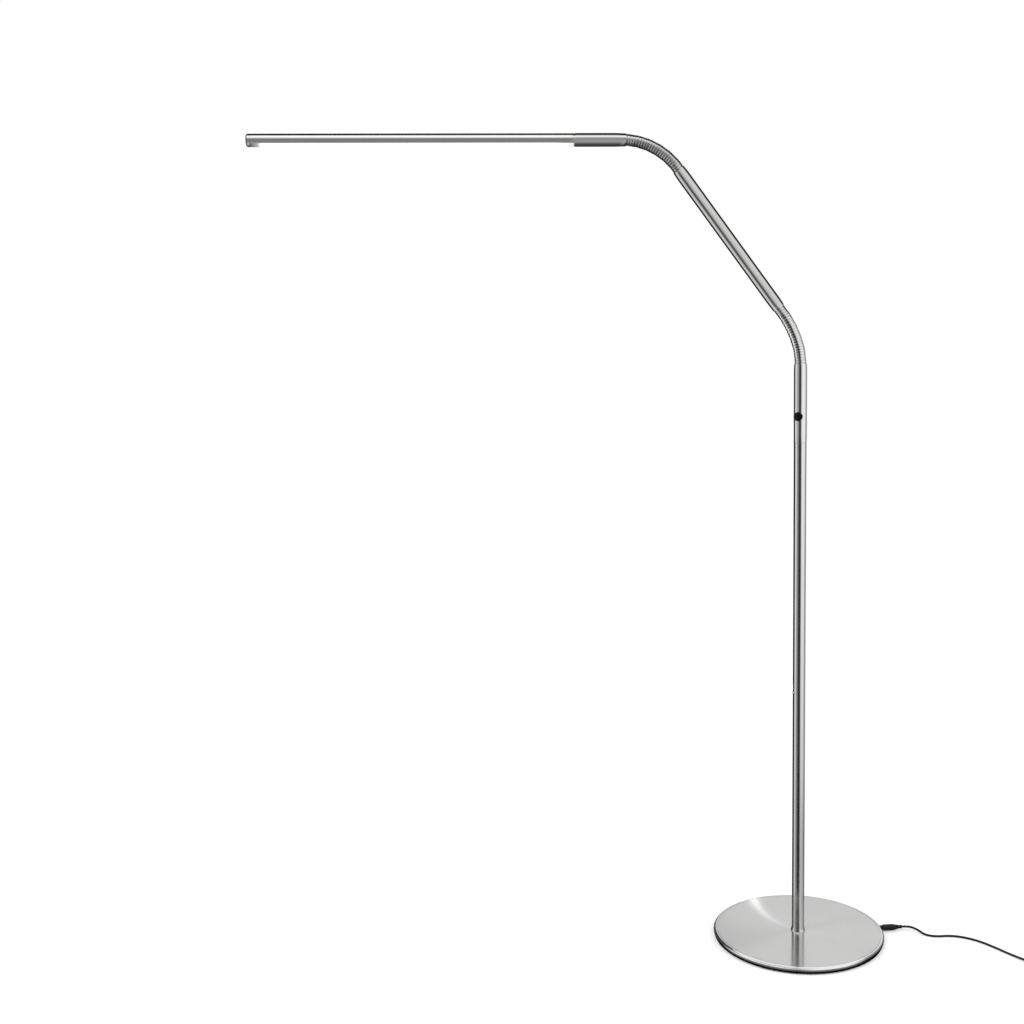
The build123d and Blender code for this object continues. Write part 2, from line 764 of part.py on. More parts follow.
total_half_turns = 2 * coil_half_turns
with BuildPart() as cord_coil:
    with BuildLine() as coil_path:
        Line(coil_entry, coil_point(coil_outer, 0, 0))
        for index in range(total_half_turns):
            side = 1 if index % 2 == 0 else -1
            start_reach = side * coil_reach(index)
            end_reach = -side * coil_reach(index + 1)
            middle = (start_reach + end_reach) / 2
            half_span = abs(start_reach - end_reach) / 2
            if index == coil_half_turns:
                rise = sqrt(half_span**2 + (coil_pitch / 2) ** 2)
                start = coil_point(start_reach, 0, 0)
                top = coil_point(middle, side * rise, coil_pitch / 2)
                end = coil_point(end_reach, 0, coil_pitch)
                first = TangentArc(start, top, tangent=coil_heading * side)
                TangentArc(top, end, tangent=first % 1)
            else:
                height = 0 if index < coil_half_turns else coil_pitch
                ThreePointArc(
                    coil_point(start_reach, 0, height),
                    coil_point(middle, side * half_span, height),
                    coil_point(end_reach, 0, height),
                )
        coil_exit = coil_point(coil_reach(total_half_turns), 0, coil_pitch)
        case_end = coil_exit + coil_heading * case_distance
        Line(coil_exit, case_end - coil_heading * relief_length)
    coil_run = coil_path.wire()
    with BuildSketch(Plane(origin=coil_run @ 0, z_dir=coil_run % 0)):
        Circle(cord_radius)
    sweep(path=coil_run)
coil_share = cord_coil.part.volume / (coil_run.length * pi * cord_radius**2)
print("coil length", round(coil_run.length, 1), "volume by section times length", round(coil_share, 4))
save(cord_coil, "cord_coil")

sample_count = 1600
samples = [tuple(coil_run @ (step / sample_count)) for step in range(sample_count + 1)]
apart = int(3 * coil_pitch / (coil_run.length / sample_count))
nearest = min(
    dist(samples[one], samples[other])
    for one in range(0, sample_count, 2)
    for other in range(one + apart, sample_count)
)
print("coil's least gap to itself", round(nearest - 2 * cord_radius, 2))

# --- Tie round the coil's turns, and the wall adapter ---------------------------------
tie_bow = (tie_width / 2 + coil_pitch / 4) ** 2 / (2 * coil_reach(coil_half_turns))
tie_inner = coil_reach(coil_half_turns) - cord_radius - tie_clearance - tie_bow
tie_outer = coil_outer - coil_pitch / 2 + cord_radius + tie_clearance
tie_top = coil_lift + coil_pitch + 2 * cord_radius + tie_clearance + tie_thickness
tie_plane = Plane(
    origin=Vector(coil_centre.X, coil_centre.Y, 0) + coil_outward * (tie_width / 2),
    x_dir=-coil_heading,
    z_dir=-coil_outward,
)
with BuildPart() as cord_tie:
    with BuildSketch(tie_plane):
        with Locations(((tie_inner + tie_outer) / 2, tie_top / 2)):
            RectangleRounded(tie_outer - tie_inner + 2 * tie_thickness, tie_top, 2 * tie_thickness)
            RectangleRounded(
                tie_outer - tie_inner, tie_top - 2 * tie_thickness, tie_thickness, mode=Mode.SUBTRACT
            )
    extrude(amount=tie_width)
save(cord_tie, "cord_tie")

case_plane = Plane(
    origin=Vector(case_end.X, case_end.Y, 0), x_dir=coil_heading, z_dir=up
)
with BuildPart() as adapter_case:
    with BuildSketch(case_plane):
        Rectangle(case_length, case_width, align=(Align.MIN, Align.CENTER))
    extrude(amount=case_height)
    fillet(adapter_case.edges().filter_by(Axis.Z), case_edge)
    fillet(adapter_case.faces().sort_by(Axis.Z)[-1].edges(), case_edge / 2)
    with BuildSketch(Plane(origin=case_end, x_dir=up, z_dir=-coil_heading)):
        Circle(relief_radius)
    with BuildSketch(Plane(origin=case_end, x_dir=up, z_dir=-coil_heading).offset(relief_length)):
        Circle(cord_radius + slip_fit)
    loft()
    with BuildSketch(case_plane.offset(case_height - prong_root)):
        with Locations((case_length - prong_inset, 0)):
            with GridLocations(0, prong_spacing, 1, 2):
                Rectangle(prong_width + slip_fit, prong_thickness + slip_fit)
    extrude(amount=2 * prong_root, mode=Mode.SUBTRACT)
save(adapter_case, "adapter_case")

with BuildPart() as adapter_prongs:
    with BuildSketch(case_plane.offset(case_height - prong_root)):
        with Locations((case_length - prong_inset, 0)):
            with GridLocations(0, prong_spacing, 1, 2):
                Rectangle(prong_width, prong_thickness)
    extrude(amount=prong_root + prong_length)
    chamfer(adapter_prongs.faces().group_by(Axis.Z)[-1].edges(), prong_thickness / 4)
save(adapter_prongs, "adapter_prongs")
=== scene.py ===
# %% [markdown]
# # A gooseneck reading lamp, from bare frame to finished picture
# The lamp stands on a round brushed plate. A thin pole carries a push button, a bending
# ribbed neck, a straight arm, a second ribbed neck and a slim light head. The mechanical
# model is loaded first and stays where it is. Every piece made here is in metres, in that
# model's own frame: the origin is the middle of the base on the floor, +Z is up, and the
# head reaches toward -X.

# %% Load the frame
import bpy
import json
import math
from mathutils import Matrix, Vector

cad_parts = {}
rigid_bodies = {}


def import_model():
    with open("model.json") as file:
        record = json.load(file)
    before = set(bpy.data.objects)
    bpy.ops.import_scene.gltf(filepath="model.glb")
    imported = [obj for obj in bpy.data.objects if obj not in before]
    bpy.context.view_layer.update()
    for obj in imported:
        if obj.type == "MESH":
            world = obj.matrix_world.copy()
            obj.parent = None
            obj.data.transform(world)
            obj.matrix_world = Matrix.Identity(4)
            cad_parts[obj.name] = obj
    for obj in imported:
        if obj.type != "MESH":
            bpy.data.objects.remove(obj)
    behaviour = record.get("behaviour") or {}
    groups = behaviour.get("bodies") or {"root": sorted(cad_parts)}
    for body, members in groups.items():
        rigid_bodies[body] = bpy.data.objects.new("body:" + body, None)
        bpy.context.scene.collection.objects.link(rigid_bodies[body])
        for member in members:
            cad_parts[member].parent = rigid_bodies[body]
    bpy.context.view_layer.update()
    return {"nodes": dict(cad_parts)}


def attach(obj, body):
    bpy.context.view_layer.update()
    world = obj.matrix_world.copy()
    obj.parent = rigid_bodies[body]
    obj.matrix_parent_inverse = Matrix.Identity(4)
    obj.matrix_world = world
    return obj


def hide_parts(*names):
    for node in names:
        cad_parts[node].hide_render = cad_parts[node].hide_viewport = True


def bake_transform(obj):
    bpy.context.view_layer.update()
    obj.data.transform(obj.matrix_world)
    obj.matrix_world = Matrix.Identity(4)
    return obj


for leftover in list(bpy.data.objects):
    bpy.data.objects.remove(leftover)
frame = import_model()

# %% [markdown]
# ## The camera
# A camera is three directions and a place. The photograph looks down by about eight
# degrees and is turned a little about its own axis. Writing the three directions as the
# columns of a matrix is the surest way to give both turns at once. Lens length follows
# from the sensor width: the picture is 1024 pixels wide and its perspective fits a focal
# length of 1392.6 of those pixels.

# %% Camera
def add_object(name, data):
    made = bpy.data.objects.new(name, data)
    bpy.context.scene.collection.objects.link(made)
    return made


camera_data = bpy.data.cameras.new("photo_camera")
camera = add_object("photo_camera", camera_data)
bpy.context.scene.camera = camera
camera_place = Vector((-0.4288, -2.0514, 0.9790))
camera_tilt, camera_roll = math.radians(8.316), math.radians(-1.463)
forward = Vector((0, math.cos(camera_tilt), -math.sin(camera_tilt)))
level_right = Vector((1, 0, 0))
level_up = level_right.cross(forward)
right = level_right * math.cos(camera_roll) + level_up * math.sin(camera_roll)
upward = level_up * math.cos(camera_roll) - level_right * math.sin(camera_roll)
camera_turn = Matrix((right, upward, -forward)).transposed()
camera.matrix_world = Matrix.Translation(camera_place) @ camera_turn.to_4x4()
sensor_width, focal_pixels, picture_pixels = 36, 1392.6, 1024
camera_data.sensor_width = sensor_width
camera_data.lens = sensor_width * focal_pixels / picture_pixels
camera_data.clip_start, camera_data.clip_end = 0.05, 60
bpy.context.scene.view_settings.view_transform = "Standard"
print("camera lens", round(camera_data.lens, 2), "mm")

# %% [markdown]
# ## Shader sums as plain Python
# A Math node is one sum, and a finish can need dozens of them. `Value` wraps one output
# socket, so that `0.3 + grain * 0.1` adds the Math nodes by itself. `Finish` holds a
# material and one method, `node`, for every other kind of node: its settings come first,
# then its sockets, each a number, a colour or another value.

# %% Node helpers
class Value:
    """One output socket; arithmetic on it adds Math nodes."""

    def __init__(self, graph, socket):
        self.graph, self.socket = graph, socket

    def math(self, operation, first, second=0.0):
        return self.graph.node("ShaderNodeMath", {"operation": operation}, {0: first, 1: second})

    def __add__(self, other):
        return self.math("ADD", self, other)

    def __sub__(self, other):
        return self.math("SUBTRACT", self, other)

    def __rsub__(self, other):
        return self.math("SUBTRACT", other, self)

    def __mul__(self, other):
        return self.math("MULTIPLY", self, other)

    def __truediv__(self, other):
        return self.math("DIVIDE", self, other)

    __radd__, __rmul__ = __add__, __mul__


class Graph:
    """A node tree with one way to add a node."""

    def __init__(self, tree):
        self.tree = tree
        tree.nodes.clear()

    def node(self, kind, settings=None, sockets=None, output=0):
        made = self.tree.nodes.new(kind)
        for name, value in (settings or {}).items():
            if name == "stops":
                ramp = made.color_ramp
                ramp.elements[0].position, ramp.elements[0].color = value[0]
                ramp.elements[1].position, ramp.elements[1].color = value[-1]
                for position, colour in value[1:-1]:
                    ramp.elements.new(position).color = colour
            else:
                setattr(made, name, value)
        for name, value in (sockets or {}).items():
            if isinstance(value, Value):
                self.tree.links.new(value.socket, made.inputs[name])
            else:
                made.inputs[name].default_value = value
        if isinstance(output, (list, tuple)):
            return [Value(self, made.outputs[o]) for o in output]
        return Value(self, made.outputs[output]) if made.outputs else None

    def mix(self, factor, first, second):
        """A colour between two colours."""
        return self.node(
            "ShaderNodeMix", {"data_type": "RGBA"}, {0: factor, 6: first, 7: second}, output=2
        )


class Finish(Graph):
    """A material, its coordinates on the object, and its Principled shader."""

    def __init__(self, name):
        self.material = bpy.data.materials.new(name)
        self.material.use_nodes = True
        super().__init__(self.material.node_tree)
        self.place = self.node("ShaderNodeTexCoord", output="Object")

    def stretched(self, across, along_y, along_z):
        """The coordinates, multiplied along each axis."""
        return self.node(
            "ShaderNodeMapping", {}, {"Vector": self.place, "Scale": (across, along_y, along_z)}
        )

    def noise(self, place, scale, detail=3.0, roughness=0.5):
        sockets = {"Vector": place, "Scale": scale, "Detail": detail, "Roughness": roughness}
        return self.node("ShaderNodeTexNoise", {}, sockets)

    def bump(self, height, strength, distance):
        sockets = {"Height": height, "Strength": strength, "Distance": distance}
        return self.node("ShaderNodeBump", {}, sockets)

    def surface(self, **sockets):
        """Close the material with a Principled shader. An underscore stands for a space."""
        named = {name.replace("_", " "): value for name, value in sockets.items()}
        shader = self.node("ShaderNodeBsdfPrincipled", {}, named)
        self.node("ShaderNodeOutputMaterial", {}, {"Surface": shader})
        print("finish", self.material.name, "has", len(self.tree.nodes), "nodes")
        return self.material


def grey(level, warm=0.0):
    """A grey colour, a little warmer or cooler."""
    return (level * (1 + warm), level, level * (1 - warm), 1)


print("node helpers ready")

# %% [markdown]
# ## The power cord
# A lamp's low-voltage cord is a round black lead, 3.4 mm thick. It leaves the plug
# straight, drops to the floor and lies there in loose curves until it leaves the picture.
# What the picture doesn't show is wound up as for storage. A NURBS spline suits it well:
# it passes smoothly near its control points, as a springy lead does. The order is set
# after the points, because before there are any points Blender keeps it at straight runs.
# The bevel depth is one and each point's own radius is the cord's, because Blender pads a
# curve's box by its points' radius.

# %% Cord route
cord_radius = 0.0017
plug_axis = Vector((math.cos(math.radians(4)), math.sin(math.radians(4)), 0))
rim_point = plug_axis * 0.130 + Vector((0, 0, 0.0055))
plug_length = 0.0356
cord_exit = rim_point + plug_axis * plug_length
route = [
    cord_exit,
    cord_exit + plug_axis * 0.011,
    Vector((0.1870, 0.0040, 0.0040)),
    Vector((0.1945, -0.0110, 0.0017)),
    Vector((0.2090, -0.0180, 0.0017)),
    Vector((0.2320, -0.0160, 0.0017)),
    Vector((0.2520, -0.0230, 0.0017)),
    Vector((0.2710, -0.0380, 0.0017)),
    Vector((0.2870, -0.0600, 0.0017)),
    Vector((0.3020, -0.0840, 0.0017)),
    Vector((0.3180, -0.1070, 0.0027)),
    Vector((0.3380, -0.1340, 0.0027)),
]
print("cord leaves the plug at", [round(v, 4) for v in cord_exit])

# %% [markdown]
# The put-away length is a flat coil of ten turns in two layers, wound inward below and
# outward on top. It is laid out as twenty half turns. Each turn has sixteen control
# points, set a little outside its own radius, because the spline cuts inside its corners.

# %% Coil of the put-away length
coil_heading = (route[-1] - route[-2]).normalized()
coil_heading.z = 0
coil_heading.normalize()
coil_outward = Vector((coil_heading.y, -coil_heading.x, 0))
turn_pitch = 0.0047
half_turns = 20
layer_halves = half_turns // 2
points_per_half = 8
coil_outer = 0.021 + layer_halves * turn_pitch / 4
coil_centre = route[-1] + coil_heading * 0.0034 - coil_outward * coil_outer


def coil_reach(index):
    """Distance of a half turn's start from the middle: inward, then out again."""
    inward, outward = min(index, layer_halves), max(index - layer_halves - 1, 0)
    return coil_outer - (inward - outward) * turn_pitch / 2


coil = []
for index in range(half_turns):
    side = 1 if index % 2 == 0 else -1
    start, end = side * coil_reach(index), -side * coil_reach(index + 1)
    middle, reach = (start + end) / 2, abs(start - end) / 2
    for step in range(points_per_half):
        angle = math.pi * (step + 0.5) / points_per_half
        outside = reach / math.cos(math.pi / points_per_half / 2)
        lift = turn_pitch if index > layer_halves else 0
        if index == layer_halves:
            lift = turn_pitch * (step + 0.5) / points_per_half
        coil.append(
            coil_centre
            + coil_outward * (middle + side * outside * math.cos(angle))
            + coil_heading * (side * outside * math.sin(angle))
            + Vector((0, 0, lift))
        )
coil_exit = coil_centre + coil_outward * coil_reach(half_turns) + Vector((0, 0, turn_pitch))
case_end = coil_exit + coil_heading * 0.034
coil += [coil_exit, coil_exit + coil_heading * 0.006, case_end - coil_heading * 0.018]
coil.append(case_end + coil_heading * 0.020)
print("coil has", len(coil), "control points round", [round(v, 4) for v in coil_centre])

# %% Cord piece
cord_curve = bpy.data.curves.new("power_lead", "CURVE")
cord_curve.dimensions = "3D"
cord_curve.bevel_depth = 1.0
cord_curve.bevel_resolution = 5
cord_curve.use_fill_caps = True
cord_line = cord_curve.splines.new("NURBS")
cord_points = route + coil
cord_line.points.add(len(cord_points) - 1)
for control, point in zip(cord_line.points, cord_points):
    control.co = (*point, 1)
    control.radius = cord_radius
cord_line.order_u = 3
cord_line.use_endpoint_u = True
cord_line.resolution_u = 6
power_lead = add_object("power_lead", cord_curve)
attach(power_lead, "stand")
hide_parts("power_cord", "cord_coil")
print("cord length", round(cord_line.calc_length(), 4), "m")

# %% [markdown]
# ## Turning on a lathe
# Nearly every part of this lamp is round, so one helper does what a lathe does. It starts
# from a plane merged to a single point, pulls that point along half of the part's
# outline with extrusions, and spins the outline a full turn about Z. Doubled points are
# merged and the faces turned outward. A second helper leans the finished part and moves
# it to its place, then applies both, so that the place is in the mesh.

# %% Lathe and placing
def smooth():
    bpy.ops.object.shade_smooth_by_angle(angle=math.radians(35))


def modify(piece, kind, **settings):
    """Add a modifier to the active piece, set it and apply it."""
    modifier = piece.modifiers.new(kind.lower(), kind)
    for name, value in settings.items():
        setattr(modifier, name, value)
    bpy.ops.object.modifier_apply(modifier=modifier.name)


def turn_on_lathe(name, outline, closed=True, steps=96):
    """A solid of revolution about Z, from (radius, height) points in metres."""
    bpy.ops.object.select_all(action="DESELECT")
    bpy.ops.mesh.primitive_plane_add(size=0.001)
    piece = bpy.context.object
    piece.name = piece.data.name = name
    bpy.ops.object.mode_set(mode="EDIT")
    bpy.ops.mesh.select_mode(type="VERT")
    bpy.ops.mesh.select_all(action="SELECT")
    bpy.ops.mesh.merge(type="CENTER")
    bpy.ops.transform.translate(value=(outline[0][0], 0, outline[0][1]))
    stops = outline + outline[:1] if closed else outline
    for here, there in zip(stops, stops[1:]):
        step = (there[0] - here[0], 0, there[1] - here[1])
        bpy.ops.mesh.extrude_vertices_move(TRANSFORM_OT_translate={"value": step})
    bpy.ops.mesh.select_all(action="SELECT")
    bpy.ops.mesh.remove_doubles(threshold=1e-6)
    bpy.ops.mesh.spin(steps=steps, angle=2 * math.pi, center=(0, 0, 0), axis=(0, 0, 1))
    bpy.ops.mesh.select_all(action="SELECT")
    bpy.ops.mesh.remove_doubles(threshold=1e-6)
    bpy.ops.mesh.normals_make_consistent(inside=False)
    bpy.ops.object.mode_set(mode="OBJECT")
    smooth()
    return piece


def select_only(piece):
    bpy.ops.object.select_all(action="DESELECT")
    piece.select_set(True)
    bpy.context.view_layer.objects.active = piece


def put(piece, place, lean=0.0, heading=0.0):
    """Lean a piece from +Z toward +X, turn it about Z, move it, and apply all three."""
    select_only(piece)
    piece.rotation_euler = (0, math.radians(lean), math.radians(heading))
    piece.location = place
    bpy.ops.object.transform_apply(location=True, rotation=True, scale=True)
    return piece


def mm(*points):
    """Outline points that are written in millimetres."""
    return [(radius / 1000, height / 1000) for radius, height in points]


def rounded(corner, radius, start, end, steps=8):
    """Points of a quarter round about a corner's centre, between two angles in degrees."""
    angles = [math.radians(start + (end - start) * n / steps) for n in range(steps + 1)]
    return [(corner[0] + radius * math.cos(a), corner[1] + radius * math.sin(a)) for a in angles]


def dress(piece, finish, body, *nodes):
    """Give a piece its finish and its body, and hide the plain nodes that it stands for."""
    piece.data.materials.clear()
    piece.data.materials.append(finish)
    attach(piece, body)
    if nodes:
        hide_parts(*nodes)
    print(piece.name, "has", len(piece.data.polygons), "faces and rides on", body)
    return piece


print("lathe ready")

# %% [markdown]
# ## Metals
# Polished and satin tubes look alike in colour; what tells them apart is how their fine
# scratches smear a reflection. The base was turned, so its scratches are rings and its
# highlight is a bright wedge that runs out from the middle. Anisotropy does that: the
# shader's own tangent runs round Z, and a quarter turn of it sets the smear across the
# rings. The poles were belt-sanded round and round, so they get the same with finer
# lines. Rings come from noise on the distance from the axis, with slow clouds over them.
# Past the hairline groove the plate's rim is brighter and smoother, as if buffed.

# %% Brushed and satin metal
def turned_steel(name, level):
    """A plate with concentric lathe lines and a buffed rim."""
    make = Finish(name)
    flat = make.stretched(1, 1, 0)
    reach = make.node("ShaderNodeVectorMath", {"operation": "LENGTH"}, {0: flat}, output="Value")
    rings = make.node(
        "ShaderNodeTexNoise", {"noise_dimensions": "1D"}, {"W": reach * 1500, "Detail": 6.0}
    )
    clouds = make.noise(make.place, 22, 2.0)
    fleck = make.noise(make.place, 900, 2.0)
    shade = rings * 0.5 + clouds * 0.35 + fleck * 0.15
    polish = make.node(
        "ShaderNodeMapRange", {}, {"Value": reach, "From Min": 0.1255, "From Max": 0.1268}
    )
    turned = make.mix(shade, grey(level * 0.84, 0.004), grey(level * 1.12, 0.004))
    return make.surface(
        Base_Color=make.mix(polish, turned, grey(0.82, 0.004)),
        Metallic=1.0,
        Roughness=(0.14 + rings * 0.10 + clouds * 0.04) * (1.0 - polish * 0.6),
        Anisotropic=0.92,
        Anisotropic_Rotation=0.25,
        Normal=make.bump(rings + fleck * 0.2, 0.10, 0.00003),
    )


def satin_metal(name, level, lines, soft, smear=0.0):
    """A sanded tube; lines says how fast its scratches change along X, Y and Z."""
    make = Finish(name)
    scratches = make.noise(make.stretched(*lines), 1, 4.0, 0.6)
    clouds = make.noise(make.place, 30, 2.0)
    shade = scratches * 0.6 + clouds * 0.4
    return make.surface(
        Base_Color=make.mix(shade, grey(level * 0.92, 0.006), grey(level * 1.06, 0.006)),
        Metallic=1.0,
        Roughness=soft + scratches * 0.07 + clouds * 0.05,
        Anisotropic=smear,
        Anisotropic_Rotation=0.25,
        Normal=make.bump(scratches, 0.06, 0.00002),
    )


brushed_disc = turned_steel("brushed_disc", 0.62)
pole_satin = satin_metal("pole_satin", 0.76, (90, 90, 2600), 0.11, smear=0.8)
arm_satin = satin_metal("arm_satin", 0.76, (150, 90, 1500), 0.08)
head_satin = satin_metal("head_satin", 0.76, (2600, 90, 90), 0.08)
neck_nickel = satin_metal("neck_nickel", 0.72, (500, 500, 500), 0.08)

# %% [markdown]
# ## Dark, soft and lit materials
# Rubber, cord jacket and moulded plastic are all near black, and only their grain and
# gloss tell them apart. The lens of the head is opal plastic, lit from inside: its light
# is even in the middle and falls off where the strip of lights ends, so the emission
# colour follows a ramp along X. Near the tip its colour is also painted dark grey:
# painted shade where the lens gets no light.

# %% Plastics, rubber and lens
def shaded(colour, factor):
    """The same colour, darker or lighter."""
    return tuple(v * factor for v in colour[:3]) + (1,)


def moulded(name, colour, grain, rough, depth=0.00004, gloss=0.5):
    """A moulded surface with an even grain."""
    make = Finish(name)
    pits = make.noise(make.place, grain, 3.0, 0.6)
    clouds = make.noise(make.place, 45, 2.0)
    mottle = pits * 0.5 + clouds * 0.5
    return make.surface(
        Base_Color=make.mix(mottle, shaded(colour, 0.75), shaded(colour, 1.25)),
        Roughness=rough + pits * 0.12 + clouds * 0.05,
        Specular_IOR_Level=gloss,
        Normal=make.bump(pits, 0.35, depth),
    )


button_rubber = moulded("button_rubber", grey(0.003), 2400, 0.10, gloss=0.22)
cord_jacket = moulded("cord_jacket", grey(0.008), 1800, 0.30, gloss=0.35)
adapter_plastic = moulded("adapter_plastic", grey(0.016), 1500, 0.42, 0.00008)
pad_foam = moulded("pad_foam", grey(0.020), 700, 0.85, 0.0002)
jack_plastic = moulded("jack_plastic", grey(0.020), 1500, 0.38)
carrier_plastic = moulded("carrier_plastic", grey(0.55, 0.02), 1500, 0.45)
strap_weave = moulded("strap_weave", grey(0.020), 900, 0.80, 0.0003)
lead_jacket = moulded("lead_jacket", grey(0.35), 1800, 0.40)

head_inner_x, head_tip_x = -0.32644, -0.78961
lens_make = Finish("opal_diffuser")
along = lens_make.node("ShaderNodeSeparateXYZ", {}, {0: lens_make.place}, output="X")
share = (head_inner_x - along) / (head_inner_x - head_tip_x)
glow_stops = [(0.0, grey(0.10, 0.03)), (0.030, grey(0.35, 0.02)), (0.075, grey(1.0))]
glow_stops += [(0.958, grey(1.0)), (0.976, grey(0.15, 0.02)), (1.0, grey(0.0))]
glow = lens_make.node("ShaderNodeValToRGB", {"stops": glow_stops}, {0: share})
# Painted shade: near the tip, where the lens gets no light from inside, its colour is painted
# dark grey.
tip_shade_stops = [(0.0, grey(0.0)), (0.958, grey(0.0)), (0.980, grey(0.75)), (1.0, grey(1.0))]
tip_painted_shade = lens_make.node("ShaderNodeValToRGB", {"stops": tip_shade_stops}, {0: share})
opal_grain = lens_make.noise(lens_make.place, 1200, 2.0)
opal = lens_make.mix(opal_grain, grey(0.82, 0.01), grey(0.88, 0.01))
opal_diffuser = lens_make.surface(
    Base_Color=lens_make.mix(tip_painted_shade, opal, grey(0.12)),
    Roughness=0.32 + opal_grain * 0.1,
    Emission_Color=glow,
    Emission_Strength=1.15,
    Normal=lens_make.bump(opal_grain, 0.1, 0.00003),
)

# %% [markdown]
# ## Metal and board inside
# Little of the inside shows, yet each part gets a finish of its own: pebbled paint on the
# cast weight, zinc with its bright spangle on the nut and washer, drawn lines on the
# aluminium, green lacquer over glass weave on the board, and phosphor on the lights.

# %% Finishes of the inner parts
def spangled(name, colour, scale, rough, metallic=1.0, depth=0.00005):
    """Metal or paint with a cellular pattern."""
    make = Finish(name)
    cells = make.node("ShaderNodeTexVoronoi", {}, {"Vector": make.place, "Scale": scale})
    haze = make.noise(make.place, scale * 2, 3.0)
    return make.surface(
        Base_Color=make.mix(cells * 0.8 + haze * 0.2, colour, shaded(colour, 0.75)),
        Metallic=metallic,
        Roughness=rough + haze * 0.15,
        Normal=make.bump(cells + haze * 0.3, 0.3, depth),
    )


cast_weight = spangled("cast_weight", grey(0.16), 500, 0.55, 0.0, 0.0003)
zinc_hardware = spangled("zinc_hardware", (0.60, 0.62, 0.66, 1), 260, 0.28)
inner_aluminium = satin_metal("inner_aluminium", 0.80, (120, 120, 1800), 0.28)
switch_metal = satin_metal("switch_metal", 0.78, (1500, 300, 300), 0.22)

board_make = Finish("circuit_board")
threads = {"Vector": board_make.place, "Scale": 900, "Mortar Size": 0.06}
weave = board_make.node("ShaderNodeTexBrick", {"offset": 0.5}, threads, output="Fac")
lacquer = board_make.noise(board_make.place, 300)
dark_green, light_green = (0.010, 0.16, 0.05, 1), (0.02, 0.26, 0.09, 1)
circuit_board = board_make.surface(
    Base_Color=board_make.mix(weave * 0.5 + lacquer * 0.5, dark_green, light_green),
    Roughness=0.28 + lacquer * 0.1,
    Normal=board_make.bump(weave, 0.2, 0.00003),
)
phosphor_make = Finish("led_phosphor")
crumbs = phosphor_make.noise(phosphor_make.place, 2500)
led_phosphor = phosphor_make.surface(
    Base_Color=phosphor_make.mix(crumbs, (0.90, 0.72, 0.20, 1), (0.95, 0.80, 0.34, 1)),
    Roughness=0.45 + crumbs * 0.15,
    Emission_Color=phosphor_make.mix(crumbs, (1.0, 0.93, 0.78, 1), (1.0, 0.96, 0.86, 1)),
    Emission_Strength=1.5,
    Normal=phosphor_make.bump(crumbs, 0.3, 0.00004),
)

# %% [markdown]
# The plain nodes that stay in view, or inside, keep their shapes and take these finishes
# on their own material slots.

# %% Finishes onto the frame's nodes
kept_nodes = {
    pad_foam: ["floor_pad"],
    cast_weight: ["base_weight"],
    zinc_hardware: ["clamp_washer", "clamp_nut", "pole_nipple"],
    inner_aluminium: ["pole_coupler", "head_joiner"],
    carrier_plastic: ["switch_carrier"],
    circuit_board: ["switch_board", "led_strip"],
    switch_metal: ["tact_switch", "dc_plug_barrel", "adapter_prongs"],
    neck_nickel: [
        "lower_neck_cup_plug", "lower_neck_ball_plug",
        "upper_neck_cup_plug", "upper_neck_ball_plug",
    ],
    led_phosphor: ["led_chips"],
    lead_jacket: ["base_lead", "head_lead"],
    jack_plastic: ["dc_jack"],
}
for finish, node_names in kept_nodes.items():
    for node_name in node_names:
        for material_slot in frame["nodes"][node_name].material_slots:
            material_slot.material = finish
    print(finish.name, "dresses", *node_names)
power_lead.data.materials.append(cord_jacket)

# %% [markdown]
# ## The base
# The plate is a thin steel shell over a cast weight. Its top was turned, its edge is
# rolled over in a small round, and a hairline groove runs just inside the rim. One lathe
# outline gives all of that, with the wall's inner side included, so the shell is closed.

# %% Base plate and foot
base_outline = mm((5.05, 11), (124.6, 11), (124.7, 10.9), (124.7, 10.6))
base_outline += mm((125.3, 10.6), (125.3, 10.9), (125.4, 11))
base_outline += rounded((0.1265, 0.0075), 0.0035, 90, 0)
base_outline += mm((130, 1.8), (129.7, 1.5), (129, 1.5), (129, 10), (5.05, 10))
base_plate = turn_on_lathe("base_plate", base_outline, steps=192)
dress(base_plate, brushed_disc, "stand", "base_cover")

foot_outline = mm((5.05, 11)) + rounded((0.03417, 0.020), 0.02467, 201.4, 180)
foot_outline += mm((8.25, 20), (8.25, 45), (5.05, 45))
foot_ring = turn_on_lathe("foot_ring", foot_outline)
dress(foot_ring, pole_satin, "stand", "pole_foot")

# %% [markdown]
# ## The poles
# Two tubes make the upright. The upper one slips over the lower, a hair thicker, so a
# fine line shows between them, and it narrows at its mouth, where the neck comes out.
# The hole for the push button is cut with a Boolean modifier and a round cutter, because
# a curved cut through a curved wall is tedious to model by hand.

# %% Poles
pole_outline = mm((8.3, 20), (9.5, 20), (9.5, 771), (9.5, 771.4), (9.2, 771.8), (8.3, 771.8))
lower_upright = turn_on_lathe("lower_upright", pole_outline)
dress(lower_upright, pole_satin, "stand", "lower_pole")

sleeve_outline = mm((8.5, 771.8), (9.5, 771.8), (9.7, 772), (9.7, 772.4))
sleeve_outline += mm((9.7, 800), (9.7, 822), (9.7, 879), (9.7, 880.5))
sleeve_outline += mm((9.14, 887.8), (9.1, 888.3), (8.9, 888.5), (8.5, 888.5))
upper_sleeve = turn_on_lathe("upper_sleeve", sleeve_outline)
button_place, button_heading = (0, 0, 0.811), 237.0
cutter = turn_on_lathe("cutter", mm((0, 0), (6.7, 0), (6.7, 20), (0, 20)), closed=False)
put(cutter, button_place, 90, button_heading)
select_only(upper_sleeve)
modify(upper_sleeve, "BOOLEAN", object=cutter, operation="DIFFERENCE", solver="EXACT")
bpy.data.objects.remove(cutter)
smooth()
dress(upper_sleeve, pole_satin, "stand", "upper_tube")

# %% [markdown]
# ## The push button
# A black rubber dome stands a millimetre proud of the tube. It has a small round at its
# rim and slides along its own axis, so it rides on the button's body.

